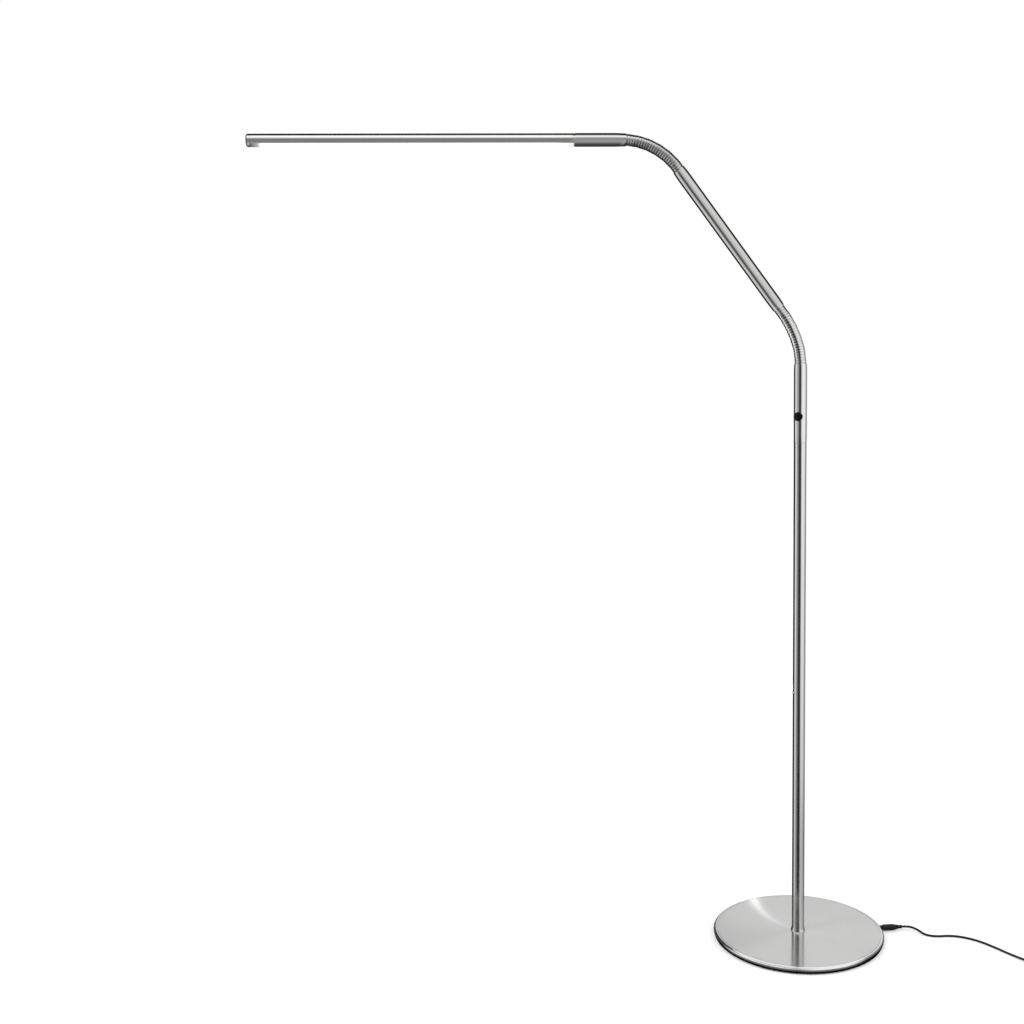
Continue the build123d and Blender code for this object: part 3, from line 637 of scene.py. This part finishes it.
# %% Push button
dome_top, dome_radius = 0.012, 0.0174
button_outline = mm((0, 4.2), (6.6, 4.2), (6.6, 10.3), (6.55, 10.6))
button_outline.append((0.0064, 0.0108))
for reach in (0.0061, 0.0054, 0.0046, 0.0036, 0.0024, 0.0012, 0):
    height = dome_top - dome_radius + math.sqrt(dome_radius**2 - reach**2)
    button_outline.append((reach, height))
push_button = turn_on_lathe("push_button", button_outline, closed=False, steps=64)
put(push_button, button_place, 90, button_heading)
dress(push_button, button_rubber, "button", "switch_button")

# %% [markdown]
# ## The arm and the ferrule
# The arm is one straight tube that narrows at both mouths. It leans 35.8 degrees from
# upright toward -X. The ferrule is a short sleeve of the same tube that joins the second
# neck to the head, and it lies almost level.

# %% Arm and ferrule
arm_start, arm_lean = Vector((-0.03218, 0, 0.96967)), 35.8
arm_outline = mm((8.5, 0), (8.9, 0), (9.1, 0.3), (9.13, 0.9), (9.7, 12))
arm_outline += mm((9.7, 13.5), (9.7, 234.2), (9.7, 235.7), (9.13, 246.8))
arm_outline += mm((9.1, 247.4), (8.9, 247.7), (8.5, 247.7))
straight_arm = put(turn_on_lathe("straight_arm", arm_outline), arm_start, -arm_lean)
dress(straight_arm, arm_satin, "arm", "arm_tube")

ferrule_start, head_lean = Vector((-0.25146, 0, 1.21372)), 88.65
ferrule_outline = mm((8.5, 0), (8.9, 0), (9.1, 0.3), (9.12, 0.9), (9.7, 15))
ferrule_outline += mm((9.7, 16.5), (9.7, 73.6), (9.7, 74))
ferrule_outline += mm((9.55, 74.2), (8.8, 74.3), (8.8, 75), (8.5, 75))
head_sleeve = put(turn_on_lathe("head_sleeve", ferrule_outline), ferrule_start, -head_lean)
dress(head_sleeve, head_satin, "head", "head_ferrule")

# %% [markdown]
# ## The light head
# The housing is a tube with its underside sliced away, and the opal lens is the slice
# that fills it. Both start as an open cylinder that Bisect cuts at the same level, less a
# hair for the seam. Solidify then gives each its wall, inward, and a tiny bevel catches
# the light along the cut edges.

# %% Housing, lens and end cap
head_start = Vector((-0.32644, 0, 1.21549))
head_axis = Vector((-math.sin(math.radians(head_lean)), 0, math.cos(math.radians(head_lean))))
housing_length = 0.4633


def head_shell(name, cut, keep_top, wall, start, length):
    """Part of a tube round the head's axis, on one side of a cut below that axis."""
    bpy.ops.object.select_all(action="DESELECT")
    bpy.ops.mesh.primitive_cylinder_add(
        vertices=128, radius=0.0094, depth=length, end_fill_type="NOTHING",
        location=(0, 0, start + length / 2),
    )
    shell = bpy.context.object
    shell.name = shell.data.name = name
    bpy.ops.object.transform_apply(location=True, rotation=True, scale=True)
    bpy.ops.object.mode_set(mode="EDIT")
    bpy.ops.mesh.select_all(action="SELECT")
    bpy.ops.mesh.bisect(
        plane_co=(-cut, 0, 0), plane_no=(1, 0, 0), clear_inner=keep_top, clear_outer=not keep_top
    )
    for level in (start + 0.0008, start + length - 0.0008):
        bpy.ops.mesh.select_all(action="SELECT")
        bpy.ops.mesh.bisect(plane_co=(0, 0, level), plane_no=(0, 0, 1))
    bpy.ops.mesh.select_all(action="SELECT")
    bpy.ops.mesh.normals_make_consistent(inside=False)
    bpy.ops.object.mode_set(mode="OBJECT")
    outside = sum(p.normal.x * p.center.x + p.normal.y * p.center.y for p in shell.data.polygons)
    if outside < 0:
        shell.data.flip_normals()
    modify(shell, "SOLIDIFY", thickness=wall, offset=-1)
    sharp = math.radians(50)
    modify(shell, "BEVEL", width=0.00015, segments=2, limit_method="ANGLE", angle_limit=sharp)
    smooth()
    return put(shell, head_start, -head_lean)


head_tube = head_shell("head_tube", 0.0050, True, 0.0011, 0.0, housing_length)
dress(head_tube, head_satin, "head", "head_housing")
light_lens = head_shell("light_lens", 0.00515, False, 0.0012, 0.00015, housing_length - 0.0003)
dress(light_lens, opal_diffuser, "head", "diffuser")

cap_outline = mm((0, 0), (9.3, 0), (9.4, 0.1)) + rounded((0.0068, 0.0034), 0.0026, 0, 90)
tip_cap = turn_on_lathe("tip_cap", cap_outline + mm((0, 6)), closed=False)
put(tip_cap, head_start + head_axis * housing_length, -head_lean)
dress(tip_cap, head_satin, "head", "end_cap")

# %% [markdown]
# ## The ribbed necks
# A gooseneck is a tube of ribs that bends all along its length. One length of two ribs
# and its inner wall is turned once, with the joint in the groove at its middle. Twelve
# copies follow each other along a neck. Two lengths of the upper neck are cut in their
# groove instead, and each half rides on its own link: with every joint at its limit, a
# blend between those two links can't be worked out.

# %% Neck lengths
rib_crest, rib_root, rib_pitch = 0.0084, 0.0077, 0.00395
groove_steps = (0, 0.0001, 0.0003, 0.0006, 0.0009)
rib_inside, half_blend = 0.0060, 0.0010


def ribs(low, high):
    """A closed outline of ribs between two heights, with round shoulders to each groove."""
    heights = {low, high}
    for groove in (-1, 0, 1):
        for step in groove_steps:
            heights.update((groove * rib_pitch - step, groove * rib_pitch + step))
    outline = []
    for height in sorted(h for h in heights if low <= h <= high):
        off_groove = abs(height - round(height / rib_pitch) * rib_pitch)
        shoulder = max(0, 1 - off_groove / groove_steps[-1])
        outline.append((rib_root + (rib_crest - rib_root) * math.sqrt(1 - shoulder**2), height))
    return outline + [(rib_inside, high), (rib_inside, low)]


def neck_line(name, points):
    """A smooth curve through a neck's joints, for the Curve modifier."""
    line = bpy.data.curves.new(name, "CURVE")
    line.dimensions = "3D"
    spline = line.splines.new("BEZIER")
    spline.bezier_points.add(len(points) - 1)
    for knot, (x, z) in zip(spline.bezier_points, points):
        knot.co = (x / 1000, 0, z / 1000)
        knot.handle_left_type = knot.handle_right_type = "AUTO"
    spline.resolution_u = 16
    print(name, "is", round(spline.calc_length() * 1000, 2), "mm long")
    return add_object(name, line)


def neck_length(name, low, high, guide, middle):
    """One length of ribs, laid on the neck's line with its joint at `middle` along it."""
    length = turn_on_lathe(name, ribs(low, high), steps=64)
    put(length, (0, 0, middle))
    modify(length, "CURVE", object=guide, deform_axis="POS_Z")
    length.data.materials.append(neck_nickel)
    return length


def build_neck(neck, joints, before, after, bodies, turned=(), halved=()):
    """Twelve lengths along a neck, each laid across its joint; for `turned` ones the near and
    far link are swapped, and `halved` ones are two halves that ride on the links."""
    guide = neck_line(neck + "_guide", [before, *joints, after])
    lead_in = math.dist(before, joints[0]) / 1000
    for index, joint in enumerate(joints):
        low = -half_blend if index == 0 else -rib_pitch
        high = half_blend if index == len(joints) - 1 else rib_pitch
        name, middle = f"{neck}_ribs_{index + 1:02d}", lead_in + index * 2 * rib_pitch
        near_link, far_link = bodies[index], bodies[index + 1]
        if index in halved:
            near_half = neck_length(name + "_near", low, 0, guide, middle)
            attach(near_half, near_link)
            length = neck_length(name, 0, high, guide, middle)
            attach(length, far_link)
        else:
            length = neck_length(name, low, high, guide, middle)
            ahead, behind = (joints + [after])[index + 1], ([before] + joints)[index]
            along_neck = Vector((ahead[0] - behind[0], 0, ahead[1] - behind[1])).normalized()
            half_groove = along_neck * half_blend
            if index in turned:
                near_link, far_link = far_link, near_link
                half_groove.negate()
            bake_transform(length)
        if index < len(joints) - 1:
            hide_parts(f"{neck}_link_{index + 1:02d}")
    bpy.data.objects.remove(guide)
    print(neck, "has", len(joints), "lengths")


lower_joints = [
    (0, 889.45), (-0.82, 897.31), (-1.64, 905.16), (-3.28, 912.89),
    (-5.70, 920.41), (-8.13, 927.93), (-11.33, 935.15), (-14.52, 942.38),
    (-18.46, 949.23), (-22.39, 956.08), (-27.01, 962.49), (-31.63, 968.90),
]
upper_joints = [
    (-177.63, 1171.34), (-182.25, 1177.75), (-187.80, 1183.37), (-193.35, 1189.00),
    (-199.69, 1193.70), (-206.04, 1198.41), (-213.03, 1202.09), (-220.02, 1205.78),
    (-227.49, 1208.34), (-234.96, 1210.91), (-242.73, 1212.30), (-250.51, 1213.70),
]
lower_bodies = ["stand"] + [f"lower_link_{i:02d}" for i in range(1, 12)] + ["arm"]
upper_bodies = ["arm"] + [f"upper_link_{i:02d}" for i in range(1, 12)] + ["head"]
lower_ends, upper_ends = ((0, 879.45), (-37.48, 977.01)), ((-171.78, 1163.23), (-260.51, 1213.94))
build_neck("lower_neck", lower_joints, *lower_ends, lower_bodies, turned=(7,))
build_neck("upper_neck", upper_joints, *upper_ends, upper_bodies, halved=(3, 9))

# %% [markdown]
# ## The plug in the rim
# A moulded barrel plug: a short neck, a body with finger grooves, and a tapering tail
# that lets the cord bend gently where it leaves. The grooves and the tail's rings are
# only steps in one lathe outline. It lies level, four degrees off +X.

# %% Barrel plug
plug_outline = mm((0, 0.05), (3.6, 0.05), (3.8, 0.3), (3.8, 4), (4.5, 5.2), (4.9, 6.6))
for groove in range(4):
    at = 0.0095 + groove * 0.0026
    plug_outline += [(0.0049, at), (0.0045, at + 0.0004)]
    plug_outline += [(0.0045, at + 0.0009), (0.0049, at + 0.0013)]
plug_outline += mm((4.9, 20.6), (4.7, 21.2))
for ring in range(4):
    at = 0.0222 + ring * 0.0026
    wide = 0.0047 - ring * 0.00052
    plug_outline += [(wide - 0.0001, at), (wide - 0.0006, at + 0.0003)]
    plug_outline += [(wide - 0.0007, at + 0.0010), (wide - 0.0004, at + 0.0013)]
plug_outline += mm((2.5, 32.8), (2.8, 33.4), (2.9, 33.9), (2.9, 34.7))
plug_outline += [(0.0027, 0.0352), (0.00175, plug_length), (0, plug_length)]
barrel_plug = turn_on_lathe("barrel_plug", plug_outline, closed=False, steps=64)
put(barrel_plug, rim_point, 90, 4)
dress(barrel_plug, cord_jacket, "stand", "dc_plug")

# %% [markdown]
# ## The tie and the adapter
# The tie is a flat strap round one side of the coil: an edge as wide as the strap is
# extruded round a small loop, closed, and given its thickness. The adapter's case is a
# block whose edges are rounded with Bevel; two Bisects mark a narrow band round it, and
# pushing that band in makes the parting line of its two moulded halves.

# %% Strap round the coil
tie_thickness, tie_width, tie_round, tie_play = 0.0007, 0.008, 0.0012, 0.0003
tie_bow = (tie_width / 2 + turn_pitch / 4) ** 2 / (2 * coil_reach(layer_halves))
tie_inner = coil_reach(layer_halves) - cord_radius - tie_play - tie_bow - tie_thickness / 2
tie_outer = coil_outer - turn_pitch / 2 + cord_radius + tie_play + tie_thickness / 2
tie_low = tie_thickness / 2
tie_high = 0.001 + turn_pitch + 2 * cord_radius + tie_play + tie_thickness / 2
loop = rounded((tie_outer - tie_round, tie_high - tie_round), tie_round, 0, 90, 4)
loop += rounded((tie_inner + tie_round, tie_high - tie_round), tie_round, 90, 180, 4)
loop += rounded((tie_inner + tie_round, tie_low + tie_round), tie_round, 180, 270, 4)
loop += rounded((tie_outer - tie_round, tie_low + tie_round), tie_round, 270, 360, 4)
bpy.ops.object.select_all(action="DESELECT")
bpy.ops.mesh.primitive_plane_add(size=tie_width)
coil_strap = bpy.context.object
coil_strap.name = coil_strap.data.name = "coil_strap"
bpy.ops.object.mode_set(mode="EDIT")
bpy.ops.mesh.select_all(action="SELECT")
bpy.ops.transform.resize(value=(0, 1, 1))
bpy.ops.mesh.remove_doubles(threshold=1e-6)
bpy.ops.transform.translate(value=(loop[0][0], 0, loop[0][1]))
for here, there in zip(loop, loop[1:] + loop[:1]):
    step = (there[0] - here[0], 0, there[1] - here[1])
    bpy.ops.mesh.extrude_edges_move(TRANSFORM_OT_translate={"value": step})
bpy.ops.mesh.select_all(action="SELECT")
bpy.ops.mesh.remove_doubles(threshold=1e-6)
bpy.ops.mesh.normals_make_consistent(inside=False)
bpy.ops.object.mode_set(mode="OBJECT")
modify(coil_strap, "SOLIDIFY", thickness=tie_thickness, offset=0)
modify(coil_strap, "BEVEL", width=0.0001, segments=2)
smooth()
coil_turn = math.degrees(math.atan2(coil_heading.y, coil_heading.x))
put(coil_strap, (coil_centre.x, coil_centre.y, 0), heading=coil_turn + 180)
dress(coil_strap, strap_weave, "stand", "cord_tie")

# %% Adapter case
bpy.ops.object.select_all(action="DESELECT")
case_size = (0.066, 0.038, 0.027)
bpy.ops.mesh.primitive_cube_add(size=1, location=(0.033, 0, 0.0135), scale=case_size)
mains_adapter = bpy.context.object
mains_adapter.name = mains_adapter.data.name = "mains_adapter"
bpy.ops.object.transform_apply(location=True, rotation=True, scale=True)
bpy.ops.object.mode_set(mode="EDIT")
bpy.ops.mesh.select_all(action="DESELECT")
bpy.ops.mesh.select_mode(type="EDGE")
bpy.ops.object.mode_set(mode="OBJECT")
for edge in mains_adapter.data.edges:
    ends = [mains_adapter.data.vertices[v].co for v in edge.vertices]
    edge.select = abs(ends[0].z - ends[1].z) > 0.01
bpy.ops.object.mode_set(mode="EDIT")
bpy.ops.mesh.bevel(offset=0.004, segments=6, affect="EDGES")
seam_low, seam_high = 0.0148, 0.0154
for level in (seam_low, seam_high):
    bpy.ops.mesh.select_all(action="SELECT")
    bpy.ops.mesh.bisect(plane_co=(0, 0, level), plane_no=(0, 0, 1))
bpy.ops.mesh.select_mode(type="FACE")
bpy.ops.mesh.select_all(action="DESELECT")
bpy.ops.object.mode_set(mode="OBJECT")
for face in mains_adapter.data.polygons:
    face.select = seam_low < face.center.z < seam_high
bpy.ops.object.mode_set(mode="EDIT")
bpy.ops.mesh.extrude_region_shrink_fatten(TRANSFORM_OT_shrink_fatten={"value": -0.0005})
bpy.ops.object.mode_set(mode="OBJECT")
modify(
    mains_adapter, "BEVEL", width=0.0019, segments=4, angle_limit=math.radians(60),
    limit_method="ANGLE", use_clamp_overlap=True,
)
smooth()
put(mains_adapter, (case_end.x, case_end.y, 0), heading=coil_turn)
dress(mains_adapter, adapter_plastic, "stand", "adapter_case")

relief_outline = mm((0, 0.4), (1.75, 0), (2.2, 0.6))
for ring in range(6):
    at = 0.0016 + ring * 0.0030
    wide = 0.0020 + ring * 0.00018
    relief_outline += [(wide, at), (wide + 0.0002, at + 0.0004), (wide + 0.0002, at + 0.0017)]
    relief_outline += [(wide - 0.0002, at + 0.0021)]
relief_outline += mm((3, 19.6), (3, 20.5), (0, 20.5))
cord_relief = turn_on_lathe("cord_relief", relief_outline, closed=False, steps=48)
put(cord_relief, case_end - coil_heading * 0.020, 90, coil_turn)
dress(cord_relief, cord_jacket, "stand")

# %% [markdown]
# Everything that lies on the cord now exists: its plug, the strap, the adapter with its
# relief and prongs.

print("all pieces made")

# %% [markdown]
# ## The studio
# A product picture of a shiny lamp is a picture of its studio. Floor and world are plain
# white. What makes the tubes look like metal are the light and dark bands that they
# mirror, so each tube stands in a light tent: a screen turned about the tube's own axis
# whose brightness changes with the angle off the camera. Only mirrors see the tents, so
# the floor and all that is matt get the plain soft light alone.

# %% World and floor
def seen_or_mirrored(graph):
    """One where the camera, a mirror or a clear surface looks, and nought for soft light."""
    rays = ["Is Camera Ray", "Is Glossy Ray", "Is Transmission Ray"]
    camera_ray, glossy_ray, clear_ray = graph.node("ShaderNodeLightPath", output=rays)
    either = camera_ray.math("MAXIMUM", camera_ray, glossy_ray)
    return either.math("MAXIMUM", either, clear_ray)


world = bpy.data.worlds.new("white_studio")
bpy.context.scene.world = world
world.use_nodes = True
sky = Graph(world.node_tree)
seen_white = seen_or_mirrored(sky)
soft_light = sky.node("ShaderNodeBackground", {}, {"Color": grey(0.95), "Strength": 0.80})
plain_white = sky.node("ShaderNodeBackground", {}, {"Color": grey(1.0), "Strength": 1.0})
sky_mix = sky.node("ShaderNodeMixShader", {}, {0: seen_white, 1: soft_light, 2: plain_white})
sky.node("ShaderNodeOutputWorld", {}, {"Surface": sky_mix})

bpy.ops.object.select_all(action="DESELECT")
bpy.ops.mesh.primitive_plane_add(size=30)
studio_floor = bpy.context.object
studio_floor.name = "studio_floor"
paper = Finish("floor_paper")
fibre = paper.noise(paper.place, 300, 2.0)
paper_white = paper.mix(fibre, grey(0.93), grey(0.95))
matt = paper.node(
    "ShaderNodeBsdfPrincipled", {},
    {"Base Color": paper_white, "Roughness": 0.9, "Specular IOR Level": 0.1},
)
floor_lift = seen_or_mirrored(paper) * 0.285
lift = paper.node("ShaderNodeEmission", {}, {"Color": grey(1.0), "Strength": floor_lift})
paper_sum = paper.node("ShaderNodeAddShader", {}, {0: matt, 1: lift})
paper.node("ShaderNodeOutputMaterial", {}, {"Surface": paper_sum})
studio_floor.data.materials.append(paper.material)
print("floor and world ready")

# %% Light tents
def glow_material(name, strength, attribute=None):
    """A material that only shines, white or as an attribute of the mesh says."""
    material = bpy.data.materials.new(name)
    material.use_nodes = True
    graph, colour = Graph(material.node_tree), grey(1.0)
    if attribute:
        colour = graph.node("ShaderNodeAttribute", {"attribute_name": attribute}, output="Color")
    light = graph.node("ShaderNodeEmission", {}, {"Color": colour, "Strength": strength})
    graph.node("ShaderNodeOutputMaterial", {}, {"Surface": light})
    return material


tent_glow = glow_material("tent_glow", 1.0, "brightness")
tent_glow.cycles.emission_sampling = "NONE"


def between(stops, at):
    """A value between stops, in a straight line from one to the next."""
    for (low, first), (high, second) in zip(stops, stops[1:]):
        if at <= high:
            return first + (second - first) * max(0, at - low) / (high - low)
    return stops[-1][1]


def seen_by_mirrors_only(screen):
    """Hide a screen from everything but reflections."""
    screen.visible_camera = screen.visible_diffuse = screen.visible_shadow = False
    screen.visible_transmission = screen.visible_volume_scatter = False


def paint_screen(screen, levels):
    """Brightness on a screen's corners; mirrors read it as light."""
    brightness = screen.data.color_attributes.new("brightness", "FLOAT_COLOR", "POINT")
    for level, shade in zip(levels, brightness.data):
        shade.color = grey(level)
    screen.data.materials.append(tent_glow)
    seen_by_mirrors_only(screen)
    print("screen", screen.name, "has", len(screen.data.polygons), "faces")


def angle_off_camera(corner, centre, axis):
    """Degrees round an axis from the camera's side, positive to the picture's right or top."""
    front = camera_place - centre
    front = (front - axis * front.dot(axis)).normalized()
    side = Vector((axis.z, 0, -axis.x))
    side = (side - front * front.dot(side)).normalized()
    out = corner - centre
    return math.degrees(math.atan2(out.dot(side), out.dot(front)))


def paint_upright(screen, level):
    """Paint a screen that stands round the pole; level takes an angle and a corner."""
    levels = []
    for corner in screen.data.vertices:
        turn = angle_off_camera(corner.co, Vector((0, 0, corner.co.z)), Vector((0, 0, 1)))
        levels.append(level(turn, corner.co))
    paint_screen(screen, levels)


# %% [markdown]
# A table of shades lists pairs: degrees off the camera, then brightness in percent. Minus
# angles lie to the left of an upright tube or below a level one, and 180 is behind it.

# %% Tables of shades
def shades(table):
    pairs = [pair.split() for pair in table.split(",")]
    return [(float(degrees), float(percent) / 100) for degrees, percent in pairs]


pole_shades = shades("""
    -180 100, -166 90, -156 5, -106 1, -97 8, -89 76, -82 98, -70 95, -60 64, -48 38,
    -34 24, -24 17, -19 5, -8 3, 12 3.5, 19 30, 28 88, 44 105, 82 105, 92 72, 103 40,
    130 36, 144 50, 164 105, 180 100
""")
sleeve_shades = shades("""
    -180 70, -156 55, -136 1, -106 1, -98 10, -90 70, -80 95, -70 90, -58 60, -46 48,
    -32 38, -22 20, -14 5, 0 2, 7 5, 14 45, 26 95, 40 106, 78 108, 88 72, 100 42, 132 38,
    150 60, 180 70
""")
arm_shades = shades("""
    -180 70, -156 55, -136 0, -102 0, -95 8, -87 45, -77 80, -60 74, -48 46, -38 13, -25 5,
    -15 16, 0 52, 12 68, 46 80, 72 84, 81 68, 89 20, 96 0, 136 0, 156 55, 180 70
""")
lower_neck_shades = shades("""
    -180 70, -156 55, -136 0, -92 0, -86 15, -80 120, -70 145, -56 125, -44 80, -30 60,
    -18 32, -8 10, 2 14, 11 60, 22 100, 40 108, 78 108, 88 72, 98 36, 132 30, 156 55, 180 70
""")
upper_neck_shades = shades("""
    -180 70, -156 55, -136 0, -96 0, -90 8, -83 80, -60 130, -20 95, 0 50, 26 36, 42 44,
    52 90, 68 95, 75 40, 81 2, 136 0, 156 55, 180 70
""")
ferrule_shades = shades("""
    -180 70, -156 55, -140 12, -122 8, -105 3, -86 6, -60 10, -46 24, -34 34, -15 41, 0 38,
    24 32, 34 48, 46 82, 54 125, 68 115, 78 60, 86 12, 94 0, 136 0, 156 55, 180 70
""")
head_shades = shades("""
    -180 70, -156 55, -136 2, -108 2, -96 12, -84 35, -64 52, -46 52, -34 36, -24 25, 0 27,
    14 21, 24 28, 34 52, 44 100, 52 132, 76 132, 83 85, 89 12, 95 0, 136 0, 156 55, 180 70
""")
print("seven tables of shades")

# %% [markdown]
# The pole's tent lies on the floor out to its wall, then stands up. Low on the pole the
# mirrored floor is nearer and darker, so the shades fade with distance plus height. A
# small screen close to the plate's rim gives the rolled edge its own bright band.

# %% The pole's tent
pole_fade = [
    (0.14, 0.60), (0.29, 0.50), (0.54, 0.58), (0.90, 0.76), (1.12, 0.86), (1.37, 0.92),
    (1.54, 0.98), (1.71, 1.04),
]
wall, floor_gap = 0.9, 0.0006
screen_outline = [(reach, floor_gap) for reach in (0.14, 0.29, 0.54, wall)]
screen_outline += [(wall, height) for height in (0.22, 0.47, 0.64, 0.81, 0.88)]
pole_tent = turn_on_lathe("pole_tent", screen_outline, closed=False, steps=240)


def pole_level(turn, corner):
    stays = between(pole_fade, math.hypot(corner.x, corner.y) + corner.z)
    return between(pole_shades, turn) * (stays if turn > 0 else math.sqrt(stays))


paint_upright(pole_tent, pole_level)

rim_shades = shades("""
    -180 8, -62 8, -50 90, -10 100, 0 60, 10 110, 34 105, 52 12, 180 8
""")
rim_rise = [
    (0, 0.0), (0.0032, 0.005), (0.0040, 0.10), (0.0048, 0.20), (0.0068, 0.26),
    (0.0078, 0.90), (0.012, 1.0),
]
rim_outline = [(0.1335, height) for height, _ in rim_rise]
rim_screen = turn_on_lathe("rim_screen", rim_outline, closed=False, steps=240)
paint_upright(
    rim_screen, lambda turn, corner: between(rim_shades, turn) * between(rim_rise, corner.z)
)

# %% [markdown]
# When the lamp is bent, its arm and head leave their tents. A tall ring round the whole
# studio gives them dark and light to mirror as well, and fades to white toward its top.

# %% Ring round the studio
room_shades = shades("""
    -180 90, -150 80, -128 5, -104 4, -92 80, -66 95, -46 40, -22 14, 0 8, 18 12, 30 80,
    80 95, 98 40, 128 30, 150 80, 180 90
""")
room_outline = [(4.0, height) for height in (0.002, 1.4, 2.6, 3.8)]
room_ring = turn_on_lathe("room_ring", room_outline, closed=False, steps=240)


def room_level(turn, corner):
    whiter = between([(1.4, 0.0), (3.8, 1.0)], corner.z)
    return between(room_shades, turn) * (1 - whiter) + whiter


paint_upright(room_ring, room_level)

# %% [markdown]
# Above the pole one long tent follows the lamp: round the lower neck, along the arm, round
# the upper neck and past the head's tip. It is a curve with a bevel, converted to a mesh,
# so its corners come ring by ring along the curve, and each ring blends the shades of the
# tube inside it.

# %% The long tent
def plain_rings(start, axis, reaches, shades):
    """Rings of the tent along a straight tube."""
    return [(start + axis * reach, shades, shades, 0) for reach in reaches]


def neck_rings(joints, before, own, after, last_plain):
    """Rings at a neck's joints, blending into its own shades and then out of them."""
    rings = []
    for index, (x, z) in enumerate(joints):
        blend = before, own, min(1, index / 2)
        if index > last_plain:
            blend = own, after, (index - last_plain) / (len(joints) - 1 - last_plain)
        rings.append((Vector((x, 0, z)) / 1000, *blend))
    return rings


arm_axis = Vector((-math.sin(math.radians(arm_lean)), 0, math.cos(math.radians(arm_lean))))
arm_reaches = [0.2477 * share for share in (0.1, 0.3, 0.5, 0.7, 0.9)]
sleeve_heights = (0.770, 0.800, 0.830, 0.860)
tent_path = plain_rings(Vector((0, 0, 0)), Vector((0, 0, 1)), sleeve_heights, sleeve_shades)
tent_path += neck_rings(lower_joints, sleeve_shades, lower_neck_shades, arm_shades, 7)
tent_path += plain_rings(arm_start, arm_axis, arm_reaches, arm_shades)
tent_path += neck_rings(upper_joints, arm_shades, upper_neck_shades, ferrule_shades, 3)
tent_path += plain_rings(ferrule_start, head_axis, (0.02, 0.04, 0.06, 0.0745), ferrule_shades)
tent_path += plain_rings(head_start, head_axis, (0.0005, 0.1, 0.2, 0.3, 0.4, 0.5), head_shades)
tent_curve = bpy.data.curves.new("long_tent", "CURVE")
tent_curve.dimensions, tent_curve.bevel_depth, tent_curve.bevel_resolution = "3D", 0.06, 58
tent_line = tent_curve.splines.new("POLY")
tent_line.points.add(len(tent_path) - 1)
for knot, (centre, *_) in zip(tent_line.points, tent_path):
    knot.co = (*centre, 1)
long_tent = add_object("long_tent", tent_curve)
select_only(long_tent)
bpy.ops.object.convert(target="MESH")
ring_size = len(long_tent.data.vertices) // len(tent_path)


def ring_axis(ring):
    """The way the tent runs at one of its rings."""
    ahead, behind = tent_path[min(ring + 1, len(tent_path) - 1)], tent_path[max(ring - 1, 0)]
    return (ahead[0] - behind[0]).normalized()


def ring_shade(ring, turn):
    """Brightness at an angle on one of the tent's rings."""
    centre, first, second, share = tent_path[ring]
    return between(first, turn) * (1 - share) + between(second, turn) * share


long_levels = []
for index, corner in enumerate(long_tent.data.vertices):
    ring = index // ring_size
    turn = angle_off_camera(corner.co, tent_path[ring][0], ring_axis(ring))
    long_levels.append(ring_shade(ring, turn))
paint_screen(long_tent, long_levels)

tip_screen = turn_on_lathe("tip_screen", mm((0, 495), (59.5, 495)), closed=False, steps=64)
put(tip_screen, head_start, -head_lean)
paint_screen(tip_screen, [0.12] * len(tip_screen.data.vertices))

# %% [markdown]
# Ribs show where their slopes mirror something darker than their crests do. Thin fins
# stand across the tent along each neck: a crest looks between them at the tent's wall, a
# slope looks at a fin. Where a neck should look smooth, its fins are as bright as the wall.

# %% Fins across the necks
lower_dim = shades("""
    -180 100, -66 100, -52 25, 4 20, 18 95, 180 95
""")
upper_dim = shades("""
    -180 12, -20 14, 6 40, 30 90, 180 100
""")
fin_outline = mm((10.8, 0), (30, 0), (59.2, 0))
lower_first = len(sleeve_heights)
upper_first = lower_first + len(lower_joints) + len(arm_reaches)
for first_ring, dim in ((lower_first, lower_dim), (upper_first, upper_dim)):
    for ring in range(first_ring + 1, first_ring + len(lower_joints) - 2):
        centre, axis = tent_path[ring][0], ring_axis(ring)
        fin = turn_on_lathe(f"fin_{ring}", fin_outline, closed=False, steps=72)
        put(fin, centre, math.degrees(math.atan2(axis.x, axis.z)))
        fin_levels = []
        for corner in fin.data.vertices:
            turn = angle_off_camera(corner.co, centre, axis)
            fin_levels.append(ring_shade(ring, turn) * between(dim, turn))
        paint_screen(fin, fin_levels)

# %% [markdown]
# The plate's bright wedge is the image of one small lamp low behind the base. The turned
# rings smear it outward and hardly sideways, so it shows as a ray that narrows inward.

# %% Glint behind the base
glint_place, glint_target = Vector((0.045, 0.820, 0.165)), Vector((-0.055, 0.095, 0.011))
bpy.ops.mesh.primitive_plane_add(size=0.016)
glint = bpy.context.object
glint.name = glint.data.name = "glint"
glint_turn = (glint_target - glint_place).to_track_quat("Z", "Y").to_matrix().to_4x4()
glint.matrix_world = Matrix.Translation(glint_place) @ glint_turn
glint.data.materials.append(glow_material("glint_glow", 85.0))
seen_by_mirrors_only(glint)
print("glint placed")

# %% Lights
def soft_box(name, place, size, power):
    """A square area light that looks at the middle of the lamp."""
    lamp = bpy.data.lights.new(name, "AREA")
    lamp.shape, lamp.size, lamp.energy = "SQUARE", size, power
    holder = add_object(name, lamp)
    holder.location = place
    toward_lamp = Vector((-0.3, 0, 0.6)) - Vector(place)
    holder.rotation_euler = toward_lamp.to_track_quat("-Z", "Y").to_euler()
    holder.visible_glossy = False
    print("soft box", name, power, "W")


soft_box("key_left", (-2.2, -2.4, 2.8), 1.6, 22)
soft_box("fill_right", (2.4, -1.6, 2.2), 1.8, 14)
